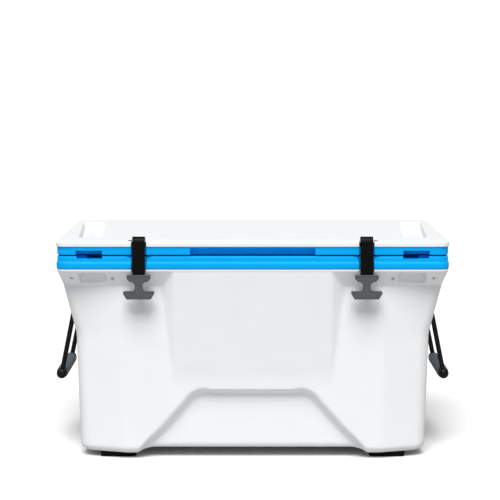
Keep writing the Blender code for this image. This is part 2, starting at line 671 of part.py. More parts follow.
def make_latch(side, label):
    """Pin, rubber strap with its knuckle, and the T-shaped pull."""
    centre = side * LATCH_X
    finish(rod(f"latch_{label}_pin", (centre - 0.0175, PIN_Y, PIN_Z), (centre + 0.0175, PIN_Y, PIN_Z),
               PIN_RADIUS, 20), "steel")

    profile = [(STRAP_FRONT_Y, TEE_TOP_Z + GAP)]
    profile += [(STRAP_BACK_Y, TEE_TOP_Z + GAP), (STRAP_BACK_Y, PIN_Z - 0.0125)]
    profile += arc((PIN_Y, PIN_Z), KNUCKLE_RADIUS, -95, 175, 18)
    profile += [(STRAP_FRONT_Y, PIN_Z - 0.0010)]
    strap = prism(f"latch_{label}_strap", profile, centre - STRAP_WIDTH / 2, centre + STRAP_WIDTH / 2, "X")
    cut(strap, [rod("eye", (centre - 0.02, PIN_Y, PIN_Z), (centre + 0.02, PIN_Y, PIN_Z), PIN_RADIUS + GAP, 20)])
    finish(strap, "black_rubber")

    outline = [(centre + x, z) for x, z in mirrored(tee_outline())]
    pull = prism(f"latch_{label}_pull", outline, TEE_FRONT_Y, TEE_BACK_Y, "Y")
    bm = bmesh.new()
    bm.from_mesh(pull.data)
    rims = [edge for edge in bm.edges if abs(edge.verts[0].co.y - edge.verts[1].co.y) < 1e-6]
    bmesh.ops.bevel(bm, geom=rims, offset=0.0009, segments=1, affect="EDGES", profile=0.5, material=-1)
    bm.to_mesh(pull.data)
    bm.free()
    nub = box("nub", (centre - 0.0100, TEE_BACK_Y - 0.001, 0.3690), (centre + 0.0100, -0.2092, 0.3780))
    join(pull, [nub])
    finish(pull, "grey_plastic")


# ---- handles ------------------------------------------------------------------------------------
def make_handle(side, label):
    """Two arms, grip and tie rod of one bail, and its two brackets with their screws."""
    lean = Vector((GRIP_X - PIVOT_X, 0, GRIP_Z - PIVOT_Z))
    for end, place in ENDS:
        def at(x, y, z, end=end):
            return Vector((side * x, end * y, z))

        bend = 0.008
        path = [at(PIVOT_X, ARM_Y + 0.0235, PIVOT_Z), at(PIVOT_X, ARM_Y + bend, PIVOT_Z)]
        radii = [ARM_RADIUS, ARM_RADIUS]
        down = Vector((side * lean.x, 0, lean.z)).normalized()
        for step in range(1, 6):
            angle = math.radians(90) * step / 5
            along = bend * (1 - math.cos(angle))
            path.append(at(PIVOT_X, ARM_Y + bend * (1 - math.sin(angle)), PIVOT_Z) + down * along)
            radii.append(ARM_RADIUS)
        path.append(at(GRIP_X, ARM_Y, GRIP_Z) - down * 0.004)
        radii.append(ARM_RADIUS)
        arm = sweep(f"handle_{label}_arm_{place}", path, radii)
        dome = [(0, -0.0105), (BOSS_RADIUS, -0.0105), (BOSS_RADIUS, 0.0045)]
        dome += [(BOSS_RADIUS * math.cos(math.radians(a)), 0.0045 + 0.0075 * math.sin(math.radians(a)))
                 for a in (25, 45, 65)] + [(0, 0.0120)]
        turn = Matrix.Rotation(math.radians(90 if end < 0 else -90), 4, "X")
        boss = lathe("boss", dome, Matrix.Translation(at(GRIP_X, ARM_Y, GRIP_Z)) @ turn, 18)
        join(arm, [boss])
        socket = rod("socket", at(GRIP_X, ARM_Y - 0.02, GRIP_Z), at(GRIP_X, ARM_Y + 0.0033, GRIP_Z), 0.0043, 12)
        finish(cut(arm, [socket]), "black_metal")
        make_bracket(side, label, end, place)
    half = ARM_Y - 0.0105 - GAP
    bore = 0.0043
    profile = [(bore, -half), (GRIP_RADIUS - 0.0015, -half), (GRIP_RADIUS, -half + 0.0015),
               (GRIP_RADIUS, half - 0.0015), (GRIP_RADIUS - 0.0015, half), (bore, half)]
    turn = Matrix.Rotation(math.radians(90), 4, "X")
    centre = Matrix.Translation((side * GRIP_X, 0, GRIP_Z))
    finish(lathe(f"handle_{label}_grip", profile, centre @ turn, 20), "grip")
    finish(rod(f"handle_{label}_tie_rod", (side * GRIP_X, -ARM_Y - 0.003, GRIP_Z),
               (side * GRIP_X, ARM_Y + 0.003, GRIP_Z), 0.0040, 12), "steel")


def make_bracket(side, label, end, place):
    """Plate on the recess wall with the eye that one arm's end turns in."""
    thickness = 0.0035
    near, far = sorted((side * (RECESS_X + GAP), side * (RECESS_X + GAP + thickness)))
    low_y, high_y = sorted((end * 0.0990, end * 0.1120))
    plate = box(f"handle_{label}_bracket_{place}", (near, low_y, PIVOT_Z - 0.0215),
                (far, high_y, PIVOT_Z + 0.0215))
    eye = rod("eye", (side * PIVOT_X, low_y, PIVOT_Z), (side * PIVOT_X, high_y, PIVOT_Z), 0.0092, 20)
    low_x, high_x = sorted((side * (RECESS_X + GAP + 0.001), side * (PIVOT_X - 0.001)))
    web = box("web", (low_x, low_y, PIVOT_Z - 0.0082), (high_x, high_y, PIVOT_Z + 0.0082))
    join(plate, [web, eye])
    holes = [rod("bore", (side * PIVOT_X, low_y - 0.01, PIVOT_Z), (side * PIVOT_X, high_y + 0.01, PIVOT_Z),
                 ARM_RADIUS + GAP, 16)]
    seats = [point for point in bracket_screw_points(side) if point.y * end > 0]
    holes += [bracket_bore(seat, SCREW_HOLE, 0.001) for seat in seats]
    finish(cut(plate, holes), "dark_plastic")
    for seat, level in zip(seats, ("low", "high")):
        outside = seat + Vector((side * (GAP + thickness), 0, 0))
        screw(f"handle_{label}_{place}_screw_{level}", outside, (-side, 0, 0), SCREW_HEAD, SCREW_SHANK, 0.0130)


# ---- feet, screws and drain ---------------------------------------------------------------------
def make_feet():
    """Rubber feet under the rails, each held by one screw."""
    labels = ("left_front", "left_rear", "right_front", "right_rear")
    for (x, y), label in zip(foot_points(), labels):
        base = rectangle(FOOT_HALF[0] - 0.002, FOOT_HALF[1] - 0.002, 0.010, 5)
        pad = rectangle(FOOT_HALF[0], FOOT_HALF[1], 0.012, 5)
        sections = [([(x + a, y + b) for a, b in outline], z)
                    for outline, z in ((base, 0.0), (pad, 0.002), (pad, FOOT_HEIGHT))]
        foot = loft(f"foot_{label}", sections)
        head_room = rod("head_room", (x, y, -0.01), (x, y, 0.0065), 0.0062, 20)
        cut(foot, [head_room, rod("hole", (x, y, 0), (x, y, 0.02), SCREW_HOLE, 12)])
        finish(foot, "black_rubber")
        screw(f"foot_screw_{label}", (x, y, 0.0065), (0, 0, 1), 0.0050, SCREW_SHANK, 0.0160)


def make_accessory_screws():
    """Four screws in the undercut band beside the tie-down pockets."""
    for side, label in SIDES:
        for x, place in zip(ACCESSORY_X, ("inner", "outer")):
            made_seat = accessory_seat(side * x)
            screw(f"accessory_screw_{label}_{place}", made_seat, -band_normal(), SCREW_HEAD, 0.0016, 0.0120)


def make_drain():
    """Bushing through the wall, nut inside, washer and screw-in plug outside, on the right end."""
    outward = Matrix.Translation((DRAIN_X, 0, DRAIN_Z)) @ Matrix.Rotation(math.radians(90), 4, "Y")
    tube, bore, inner_end = 0.0110, 0.0080, -0.0560
    profile = [(bore, inner_end), (tube, inner_end), (tube, GAP), (0.0240, GAP), (0.0240, 0.0030),
               (0.0225, 0.0042), (bore, 0.0042)]
    finish(lathe("drain_bushing", profile, outward, 24), "dark_plastic")
    nut_face = 0.2915 - DRAIN_X
    hexagon = [(0.0158 * math.cos(math.radians(60 * k)), 0.0158 * math.sin(math.radians(60 * k)) + DRAIN_Z)
               for k in range(6)]
    nut = prism("drain_nut", hexagon, DRAIN_X + nut_face - 0.0065, DRAIN_X + nut_face - 0.0005, "X")
    cut(nut, [rod("bore", (0.27, 0, DRAIN_Z), (0.30, 0, DRAIN_Z), tube + GAP, 24)])
    finish(nut, "dark_plastic")
    washer = [(0.0075, 0.0045), (0.0120, 0.0045), (0.0120, 0.0065), (0.0075, 0.0065)]
    finish(lathe("drain_washer", washer, outward, 20), "black_rubber")
    make_drain_plug(outward, bore)


def make_drain_plug(outward, bore):
    """Plug: a threaded stem, a round head and a thumb bar."""
    pitch, stem, crest, turns, steps = 0.003, 0.0060, 0.0012, 3, 12
    profile = [(0, -0.0160), (stem, -0.0160), (stem, 0.0068), (0.0165, 0.0068), (0.0165, 0.0105),
               (0.0150, 0.0120), (0, 0.0120)]
    plug = lathe("drain_plug", profile, outward, 20)
    bar = box("bar", (DRAIN_X + 0.0100, -0.0025, DRAIN_Z - 0.0130),
              (DRAIN_X + 0.0155, 0.0025, DRAIN_Z + 0.0130))
    bm = bmesh.new()
    rings = []
    for step in range(turns * steps + 1):
        angle = 2 * math.pi * step / steps
        height = -0.0145 + pitch * step / steps
        fade = min(1.0, step / 4, (turns * steps - step) / 4)
        section = ((stem - 0.0006, -0.0011), (stem + crest * fade, -0.0003),
                   (stem + crest * fade, 0.0003), (stem - 0.0006, 0.0011))
        rings.append([bm.verts.new((radius * math.cos(angle), radius * math.sin(angle), height + shift))
                      for radius, shift in section])
    for lower, upper in zip(rings, rings[1:]):
        for index in range(4):
            bm.faces.new((lower[index - 1], lower[index], upper[index], upper[index - 1]))
    bm.faces.new(rings[0])
    bm.faces.new(rings[-1])
    bmesh.ops.transform(bm, matrix=outward, verts=bm.verts)
    thread = add_object("thread", bm)
    join(plug, [bar, thread])
    finish(plug, "dark_plastic")


def main():
    """Build the chest from an empty scene."""
    for old in list(bpy.data.objects):
        bpy.data.objects.remove(old, do_unlink=True)
    make_body()
    make_rim()
    make_lid()
    make_hinge_rods()
    for side, label in SIDES:
        make_latch(side, label)
        make_handle(side, label)
    make_feet()
    make_accessory_screws()
    make_drain()


main()
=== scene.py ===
"""Looks of a hard-sided cooler chest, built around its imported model.

Metres, +Z up, the latched front faces -Y and the drain is on the right end, +X.
"""
import json
import logging
import math
from collections.abc import Callable, Iterable, Sequence
from dataclasses import dataclass, field
from enum import Enum

import bmesh
import bpy
from mathutils import Matrix, Vector


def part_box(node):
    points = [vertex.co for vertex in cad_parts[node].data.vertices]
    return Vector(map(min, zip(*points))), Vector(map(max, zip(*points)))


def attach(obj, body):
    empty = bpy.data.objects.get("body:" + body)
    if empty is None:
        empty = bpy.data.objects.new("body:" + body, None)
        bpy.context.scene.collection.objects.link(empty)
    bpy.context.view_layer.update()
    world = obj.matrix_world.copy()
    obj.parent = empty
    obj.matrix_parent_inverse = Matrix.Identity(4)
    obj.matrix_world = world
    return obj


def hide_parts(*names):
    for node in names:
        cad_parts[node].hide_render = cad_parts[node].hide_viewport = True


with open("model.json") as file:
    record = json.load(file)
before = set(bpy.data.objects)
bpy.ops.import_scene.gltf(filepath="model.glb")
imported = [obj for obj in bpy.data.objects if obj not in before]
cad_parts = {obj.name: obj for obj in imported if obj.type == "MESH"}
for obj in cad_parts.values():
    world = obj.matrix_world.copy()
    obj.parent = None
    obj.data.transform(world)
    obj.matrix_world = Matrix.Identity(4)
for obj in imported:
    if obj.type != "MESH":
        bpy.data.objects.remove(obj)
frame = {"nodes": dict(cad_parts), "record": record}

LOG = logging.getLogger("cooler")
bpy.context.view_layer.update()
MM = 0.001
SIDES = ((-1, "left"), (1, "right"))
ENDS = ((-1, "front"), (1, "rear"))


class Slot(Enum):
    """The record's material slots."""

    WHITE = "white_polyethylene"
    BLUE = "blue_polyethylene"
    LINER = "liner_polyethylene"
    FOAM = "foam"
    RUBBER = "black_rubber"
    PULL = "grey_plastic"
    GRIP = "grip_rubber"
    BLACK_METAL = "black_metal"
    STEEL = "stainless_steel"
    DARK_PLASTIC = "dark_plastic"


class Axis(Enum):
    """A direction of the frame, by its index."""

    X = 0
    Y = 1
    Z = 2


# ---- small numeric helpers ----------------------------------------------------------------------
def clamp(value: float, low: float = 0.0, high: float = 1.0) -> float:
    """The value, kept between low and high."""
    return max(low, min(high, value))


def ramp(value: float, start: float, end: float) -> float:
    """0 before start, 1 after end and a soft S between them.

    Args:
        value: where to read the ramp.
        start: where it leaves 0.
        end: where it reaches 1.

    Returns:
        The height of the ramp, 0 to 1.
    """
    share = clamp((value - start) / (end - start))
    return share * share * (3 - 2 * share)


def soft_max(a: float, b: float, blend: float) -> float:
    """The larger of two heights, with the crease between them rounded.

    Args:
        a: first height.
        b: second height.
        blend: distance over which the crease is rounded.

    Returns:
        A height that is never below either one.
    """
    share = clamp(0.5 + 0.5 * (a - b) / blend)
    return b + (a - b) * share + blend * share * (1 - share) / 2


def soft_min(a: float, b: float, blend: float) -> float:
    """The smaller of two heights, with the crease between them rounded."""
    return -soft_max(-a, -b, blend)


def stations(anchors: Iterable[float], step: float) -> list[float]:
    """Grid stations that pass through every anchor and are no further apart than a step.

    Args:
        anchors: stations that must be there.
        step: largest distance between neighbours.

    Returns:
        Rising stations.
    """
    fixed = sorted(anchors)
    kept = [fixed[0]]
    for anchor in fixed[1:]:
        if anchor - kept[-1] < 0.2 * MM:
            continue
        start = kept[-1]
        pieces = max(1, math.ceil((anchor - start) / step - 1e-6))
        kept += [start + (anchor - start) * count / pieces for count in range(1, pieces + 1)]
    return kept


def both_sides(anchors: Iterable[float]) -> list[float]:
    """The anchors and their mirror images."""
    return [sign * anchor for anchor in anchors for sign in (-1, 1)]


def brink(at: float, width: float) -> list[float]:
    """Stations across a steep wall of that half width."""
    return [at + width * share for share in (-1.0, -0.5, 0.0, 0.5, 1.0)]


def round_corner(x: float, y: float, half_x: float, half_y: float, radius: float) -> tuple[float, float]:
    """Move a point of a rectangle's outline onto its rounded corner.

    Args:
        x: place along the first axis, on the rectangle of those half sizes.
        y: place along the second axis.
        half_x: half size of the rectangle along the first axis.
        half_y: half size along the second axis.
        radius: radius of its corners.

    Returns:
        The point, moved if it is within a radius of a corner.
    """
    over_x = (abs(x) - (half_x - radius)) / radius
    over_y = (abs(y) - (half_y - radius)) / radius
    if over_x <= 0 or over_y <= 0:
        return x, y
    if over_y >= over_x:
        angle = math.radians(90 - 45 * over_x / over_y)
    else:
        angle = math.radians(45 * over_y / over_x)
    reach = radius * max(over_x, over_y)
    return (math.copysign(half_x - radius + reach * math.cos(angle), x),
            math.copysign(half_y - radius + reach * math.sin(angle), y))


def round_patch(u: float, v: float, half_u: float, half_v: float, radius: float,
                spread: float = 0.35) -> tuple[float, float]:
    """Bend the grid lines around a rectangular feature so that they follow its rounded corners.

    Args:
        u: place along the first axis, from the feature's centre.
        v: place along the second axis, from the feature's centre.
        half_u: half size of the feature along the first axis.
        half_v: half size along the second axis.
        radius: radius of its corners.
        spread: how far the bending reaches, as a share of the half sizes.

    Returns:
        The bent place.
    """
    share = max(abs(u) / half_u, abs(v) / half_v)
    weight = 1 - abs(share - 1) / spread
    if weight <= 0 or share <= 0:
        return u, v
    at_u, at_v = u / share, v / share
    to_u, to_v = round_corner(at_u, at_v, half_u, half_v, radius)
    return u + (to_u - at_u) * weight, v + (to_v - at_v) * weight


def box_distance(u: float, v: float, half_u: float, half_v: float, radius: float) -> float:
    """Distance from a rounded rectangle's outline, negative inside it."""
    out_u, out_v = abs(u) - half_u + radius, abs(v) - half_v + radius
    return math.hypot(max(out_u, 0.0), max(out_v, 0.0)) + min(max(out_u, out_v), 0.0) - radius


# ---- finishes -----------------------------------------------------------------------------------
def linear(colour: str) -> tuple[float, float, float, float]:
    """An sRGB hex colour as linear RGBA.

    Args:
        colour: six hex digits.

    Returns:
        Red, green, blue and an alpha of 1.
    """
    parts = [int(colour[index:index + 2], 16) / 255 for index in (0, 2, 4)]
    return (*[part / 12.92 if part <= 0.04045 else ((part + 0.055) / 1.055) ** 2.4 for part in parts], 1.0)


def add_node(tree: bpy.types.NodeTree, kind: str, inputs: dict | None = None, **settings) -> bpy.types.Node:
    """Add a shader node with its settings, values and links.

    Args:
        tree: tree to add it to.
        kind: Blender's name of the node type.
        inputs: socket name or index to a value, or to the socket that feeds it.
        settings: attributes of the node.

    Returns:
        The new node.
    """
    made = tree.nodes.new(kind)
    for name, value in settings.items():
        setattr(made, name, value)
    for key, value in (inputs or {}).items():
        if isinstance(value, bpy.types.NodeSocket):
            tree.links.new(value, made.inputs[key])
        else:
            made.inputs[key].default_value = value
    return made


@dataclass(frozen=True)
class Dressing:
    """A material in the making: the material, its tree, its shader and its Object coordinates."""

    material: bpy.types.Material
    tree: bpy.types.NodeTree
    shader: bpy.types.Node
    place: bpy.types.NodeSocket

    @classmethod
    def start(cls, name: str, values: dict) -> "Dressing":
        """Start a material with a Principled shader.

        Args:
            name: what the real material is.
            values: constant values of the shader's sockets.

        Returns:
            The material in the making.
        """
        made = bpy.data.materials.new(name)
        made.use_nodes = True
        shader = made.node_tree.nodes["Principled BSDF"]
        for socket, value in values.items():
            shader.inputs[socket].default_value = value
        made.diffuse_color = values["Base Color"]
        place = add_node(made.node_tree, "ShaderNodeTexCoord").outputs["Object"]
        return cls(made, made.node_tree, shader, place)

    def noise(self, size_mm: float, detail: float = 2.0, roughness: float = 0.5,
              stretch: tuple[float, float, float] | None = None) -> bpy.types.NodeSocket:
        """A noise of that grain size.

        Args:
            size_mm: width of one grain.
            detail: octaves of finer grain.
            roughness: strength of the finer grain.
            stretch: scale along X, Y and Z, for a drawn or brushed grain.

        Returns:
            Its height, about 0.5 on average.
        """
        place = self.place
        if stretch:
            place = add_node(self.tree, "ShaderNodeMapping",
                             {"Vector": place, "Scale": stretch}).outputs["Vector"]
        made = add_node(self.tree, "ShaderNodeTexNoise", {"Vector": place, "Scale": 1 / (size_mm * MM),
                                                          "Detail": detail, "Roughness": roughness})
        return made.outputs["Fac"]

    def tint(self, height: bpy.types.NodeSocket, first: str, second: str) -> None:
        """Colour the surface between two hex colours by a height."""
        blended = add_node(self.tree, "ShaderNodeMix", {0: height, 6: linear(first), 7: linear(second)},
                           data_type="RGBA")
        self.tree.links.new(blended.outputs[2], self.shader.inputs["Base Color"])

    def dull(self, height: bpy.types.NodeSocket, low: float, high: float) -> None:
        """Vary the roughness between two values by a height."""
        span = add_node(self.tree, "ShaderNodeMapRange", {"Value": height, "From Min": 0.3, "From Max": 0.7,
                                                          "To Min": low, "To Max": high})
        self.tree.links.new(span.outputs["Result"], self.shader.inputs["Roughness"])

    def relief(self, layers: Sequence[tuple[bpy.types.NodeSocket, float]]) -> bpy.types.Material:
        """Stack bump layers and finish the material.

        Args:
            layers: pairs of a height and its depth in millimetres, coarse ones first.

        Returns:
            The finished material.
        """
        normal = None
        for height, depth_mm in layers:
            inputs = {"Height": height, "Distance": depth_mm * MM, "Strength": 1.0}
            if normal:
                inputs["Normal"] = normal
            normal = add_node(self.tree, "ShaderNodeBump", inputs).outputs["Normal"]
        self.tree.links.new(normal, self.shader.inputs["Normal"])
        return self.material


@dataclass(frozen=True)
class RotomouldedPolyethylene:
    """Polyethylene powder fused in a turning mould.

    The blasted mould leaves a fine pebble grain, and cooling leaves a slow waviness under it, so a
    highlight is broad and a little uneven. The grain is drawn about twice as coarse as it is.
    """

    name: str
    colour: str
    shade: str
    roughness: float = 0.46
    shine: float = 0.5
    pebble_mm: float = 1.8
    wave_mm: float = 45.0

    def build(self) -> bpy.types.Material:
        """Make the material."""
        made = Dressing.start(self.name, {"Base Color": linear(self.colour), "IOR": 1.51,
                                          "Specular IOR Level": self.shine})
        wave = made.noise(self.wave_mm, detail=1.0)
        pebble = made.noise(self.pebble_mm, detail=2.0, roughness=0.6)
        # Thicker and thinner spots of fused powder shift the colour by a percent or two.
        made.tint(wave, self.colour, self.shade)
        made.dull(pebble, self.roughness - 0.05, self.roughness + 0.06)
        return made.relief(((wave, 0.5), (pebble, 0.05)))


@dataclass(frozen=True)
class SoftRubber:
    """Moulded rubber: a dull skin with a fine matt grain and a faint dusty bloom."""

    name: str
    colour: str
    bloom: str
    roughness: float = 0.5
    shine: float = 0.2
    grain_mm: float = 0.7

    def build(self) -> bpy.types.Material:
        """Make the material."""
        made = Dressing.start(self.name, {"Base Color": linear(self.colour), "IOR": 1.52,
                                          "Specular IOR Level": self.shine})
        cloud = made.noise(9.0, detail=3.0)
        grain = made.noise(self.grain_mm, detail=2.0)
        made.tint(cloud, self.colour, self.bloom)
        made.dull(cloud, self.roughness - 0.06, self.roughness + 0.08)
        return made.relief(((grain, 0.03),))


@dataclass(frozen=True)
class FilledNylon:
    """Glass-filled nylon or acetal: spark-eroded texture, with fibres that mottle the grey."""

    name: str
    colour: str
    mottle: str
    roughness: float = 0.45

    def build(self) -> bpy.types.Material:
        """Make the material."""
        made = Dressing.start(self.name, {"Base Color": linear(self.colour), "IOR": 1.53})
        mottle = made.noise(3.5, detail=4.0, roughness=0.65)
        spark = made.noise(0.6, detail=2.0)
        made.tint(mottle, self.colour, self.mottle)
        made.dull(mottle, self.roughness - 0.08, self.roughness + 0.1)
        return made.relief(((mottle, 0.04), (spark, 0.03)))


@dataclass(frozen=True)
class PowderCoatedSteel:
    """Steel bar under baked powder: orange peel about a millimetre and a half across."""

    name: str
    colour: str
    worn: str

    def build(self) -> bpy.types.Material:
        """Make the material."""
        made = Dressing.start(self.name, {"Base Color": linear(self.colour), "IOR": 1.5,
                                          "Specular IOR Level": 0.25})
        peel = made.noise(1.5, detail=1.0)
        cloud = made.noise(14.0, detail=3.0)
        made.tint(cloud, self.colour, self.worn)
        made.dull(peel, 0.38, 0.5)
        return made.relief(((peel, 0.05),))


@dataclass(frozen=True)
class StainlessSteel:
    """Drawn and tumbled stainless steel: fine marks along the bar, satin reflections."""

    name: str
    colour: str = "C4C5C6"
    mark: str = "A9AAAD"

    def build(self) -> bpy.types.Material:
        """Make the material."""
        made = Dressing.start(self.name, {"Base Color": linear(self.colour), "Metallic": 1.0})
        marks = made.noise(0.5, detail=3.0, stretch=(0.08, 1.0, 1.0))
        made.tint(marks, self.colour, self.mark)
        made.dull(marks, 0.24, 0.36)
        return made.relief(((marks, 0.008),))


@dataclass(frozen=True)
class PouredFoam:
    """Rigid polyurethane foam: cells about a millimetre wide, cream turning amber with age."""

    name: str
    colour: str = "E2D3A4"
    amber: str = "C9AE6E"

    def build(self) -> bpy.types.Material:
        """Make the material."""
        made = Dressing.start(self.name, {"Base Color": linear(self.colour), "Roughness": 0.95})
        cloud = made.noise(30.0, detail=3.0)
        cells = add_node(made.tree, "ShaderNodeTexVoronoi", {"Vector": made.place, "Scale": 1 / (1.2 * MM)})
        made.tint(cloud, self.colour, self.amber)
        return made.relief(((cells.outputs["Distance"], 0.4),))


@dataclass(frozen=True)
class StudioFloor:
    """Matt white seamless paper."""

    name: str = "seamless paper"
    colour: str = "FFFFFF"
    painted_shade_bounce: str = "B8B8B8"

    def build(self) -> bpy.types.Material:
        """Make the material: white to the camera and grey to every other ray, a painted shade that keeps the
        floor's bounce onto the chest below its own brightness.
        """
        made = Dressing.start(self.name, {"Base Color": linear(self.colour), "Roughness": 0.9})
        # Painted shade: every ray but the camera's sees the floor grey, so the chest's undersides and ledges
        # get less bounce light.
        seen = add_node(made.tree, "ShaderNodeLightPath").outputs["Is Camera Ray"]
        made.tint(seen, self.painted_shade_bounce, self.colour)
        tooth = made.noise(0.8, detail=2.0)
        return made.relief(((tooth, 0.02),))


FINISHES = {
    Slot.WHITE: RotomouldedPolyethylene("white polyethylene", "F3F4F5", "EFF0F2", shine=0.3),
    Slot.BLUE: RotomouldedPolyethylene("blue polyethylene", "00AEF8", "00A6F0", roughness=0.4, shine=0.1),
    Slot.LINER: RotomouldedPolyethylene("natural white polyethylene liner", "EDEEEE", "E8EAEB",
                                        roughness=0.4),
    Slot.FOAM: PouredFoam("poured polyurethane foam"),
    Slot.RUBBER: SoftRubber("black EPDM rubber", "020203", "050506", shine=0.12),
    Slot.PULL: FilledNylon("glass-filled nylon", "46484C", "5A5C60"),
    Slot.GRIP: SoftRubber("grey thermoplastic rubber", "59636A", "677177", roughness=0.6),
    Slot.BLACK_METAL: PowderCoatedSteel("black powder-coated steel", "030303", "070708"),
    Slot.STEEL: StainlessSteel("stainless steel"),
    Slot.DARK_PLASTIC: FilledNylon("black acetal", "141518", "1C1D20"),
}
MATERIALS: dict[Slot, bpy.types.Material] = {}


def material_of(slot: Slot) -> bpy.types.Material:
    """The material of a slot, made on first use."""
    if slot not in MATERIALS:
        MATERIALS[slot] = FINISHES[slot].build()
    return MATERIALS[slot]


# ---- mesh helpers -------------------------------------------------------------------------------
Form = Callable[[float, float, float], tuple[float, float, float]]


def grid_box(lines: Sequence[Sequence[float]]) -> bmesh.types.BMesh:
    """A closed box whose grid lines run through the given stations.

    Args:
        lines: rising stations along X, Y and Z.

    Returns:
        The box.
    """
    bm = bmesh.new()
    bmesh.ops.create_cube(bm, size=1.0)
    for axis, places in enumerate(lines):
        along = [edge for edge in bm.edges if abs(edge.verts[0].co[axis] - edge.verts[1].co[axis]) > 1e-6]
        if len(places) > 2:
            bmesh.ops.subdivide_edges(bm, edges=along, cuts=len(places) - 2, use_grid_fill=True)
    for vert in bm.verts:
        vert.co = [places[round((share + 0.5) * (len(places) - 1))] for share, places in zip(vert.co, lines)]
    return bm


def shape(bm: bmesh.types.BMesh, form: Form) -> None:
    """Move every vertex by a form."""
    for vert in bm.verts:
        vert.co = form(*vert.co)


def open_window(bm: bmesh.types.BMesh, low: tuple[float, float], high: tuple[float, float]) -> None:
    """Cut a straight hole down through a grid box and wall it.

    Args:
        bm: the box, before it is shaped.
        low: lowest X and Y of the hole, on grid lines.
        high: highest X and Y.
    """
    slack = 1e-6

    def inside(face: bmesh.types.BMFace) -> bool:
        """Whether a face lies level and within the window."""
        if abs(face.normal.z) < 0.5:
            return False
        middle = face.calc_center_median()
        return low[0] - slack < middle.x < high[0] + slack and low[1] - slack < middle.y < high[1] + slack

    bm.normal_update()
    removed = [face for face in bm.faces if inside(face)]
    bmesh.ops.delete(bm, geom=removed, context="FACES")
    rim = [edge for edge in bm.edges if edge.is_boundary]
    bmesh.ops.bridge_loops(bm, edges=rim)


def rounded_block(size: Sequence[float], centre: Sequence[float], radius: float, upright: Axis = Axis.Z,
                  edge: float = 0.0, steps: int = 6) -> bmesh.types.BMesh:
    """A block with rounded corners along one axis and softened edges at its two ends.

    Args:
        size: its size along X, Y and Z.
        centre: its middle.
        radius: radius of the four corners.
        upright: axis that the corners run along.
        edge: radius of the edges at the two ends.
        steps: segments of each corner.

    Returns:
        The block.
    """
    bm = bmesh.new()
    bmesh.ops.create_cube(bm, size=1.0)
    bmesh.ops.scale(bm, vec=size, verts=bm.verts)
    axis = upright.value
    corners = [e for e in bm.edges if abs(e.verts[0].co[axis] - e.verts[1].co[axis]) > 1e-6]
    bmesh.ops.bevel(bm, geom=corners, offset=radius, segments=steps, affect="EDGES", profile=0.5, material=-1)
    if edge:
        rims = [e for e in bm.edges if abs(e.verts[0].co[axis] - e.verts[1].co[axis]) < 1e-6]
        bmesh.ops.bevel(bm, geom=rims, offset=edge, segments=3, affect="EDGES", profile=0.5, material=-1)
    bmesh.ops.translate(bm, vec=centre, verts=bm.verts)
    return bm


def turned(profile: Sequence[tuple[float, float]], place: Matrix, steps: int = 32) -> bmesh.types.BMesh:
    """A turned solid.

    Args:
        profile: radius and height of each corner, from one end of the axis to the other.
        place: where local Z and the origin go.
        steps: segments round the axis.

    Returns:
        The solid.
    """
    bm = bmesh.new()
    verts = [bm.verts.new((radius, 0.0, height)) for radius, height in profile]
    edges = [bm.edges.new(pair) for pair in zip(verts, verts[1:])]
    if profile[0][0] > 0:
        edges.append(bm.edges.new((verts[-1], verts[0])))
    bmesh.ops.spin(bm, geom=verts + edges, cent=(0, 0, 0), axis=(0, 0, 1), angle=2 * math.pi, steps=steps,
                   use_merge=True, use_duplicate=False)
    bmesh.ops.remove_doubles(bm, verts=bm.verts, dist=1e-6)
    bmesh.ops.transform(bm, matrix=place, verts=bm.verts)
    bmesh.ops.recalc_face_normals(bm, faces=bm.faces)
    return bm


def facing(point: Sequence[float], direction: Sequence[float]) -> Matrix:
    """Matrix that puts the origin at a point and turns local Z along a direction."""
    turn = Vector((0, 0, 1)).rotation_difference(Vector(direction)).to_matrix().to_4x4()
    return Matrix.Translation(point) @ turn


def joined(*parts: bmesh.types.BMesh) -> bmesh.types.BMesh:
    """Several meshes as one; the parts are used up."""
    whole = bmesh.new()
    for part in parts:
        mesh = bpy.data.meshes.new("part")
        part.to_mesh(mesh)
        part.free()
        whole.from_mesh(mesh)
        bpy.data.meshes.remove(mesh)
    return whole


def place_piece(bm: bmesh.types.BMesh, name: str, slot: Slot, body: str, nodes: Sequence[str] = (),
                sharp: float = 38.0) -> bpy.types.Object:
    """Turn a mesh into a dressed piece that rides on a body.

    Args:
        bm: its mesh, which is used up.
        name: the piece's name.
        slot: its material slot.
        body: the body that it moves with.
        nodes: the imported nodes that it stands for.
        sharp: edges that turn by more degrees than this stay sharp.

    Returns:
        The piece.
    """
    mesh = bpy.data.meshes.new(name)
    bm.to_mesh(mesh)
    bm.free()
    mesh.shade_smooth()
    mesh.set_sharp_from_angle(angle=math.radians(sharp))
    made = bpy.data.objects.new(name, mesh)
    bpy.context.scene.collection.objects.link(made)
    mesh.materials.append(material_of(slot))
    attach(made, body)
    if nodes:
        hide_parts(*nodes)
    LOG.info("%s: %d faces", name, len(mesh.polygons))
    return made


def cut_away(piece: bpy.types.Object, cutters: Sequence[bmesh.types.BMesh]) -> None:
    """Cut solids out of a finished piece and keep its smooth shading.

    Args:
        piece: the piece to cut.
        cutters: closed solids, which are used up.
    """
    mesh = bpy.data.meshes.new("cutter")
    whole = joined(*cutters)
    whole.to_mesh(mesh)
    whole.free()
    cutter = bpy.data.objects.new("cutter", mesh)
    bpy.context.scene.collection.objects.link(cutter)
    made = piece.modifiers.new("cut", "BOOLEAN")
    made.operation, made.solver, made.object = "DIFFERENCE", "EXACT", cutter
    bpy.context.view_layer.update()
    evaluated = piece.evaluated_get(bpy.context.evaluated_depsgraph_get())
    result = bpy.data.meshes.new_from_object(evaluated)
    piece.modifiers.clear()
    result.materials.clear()
    result.materials.append(piece.data.materials[0])
    result.name = piece.name
    piece.data = result
    bpy.data.objects.remove(cutter)
    result.shade_smooth()
    result.set_sharp_from_angle(angle=math.radians(38))


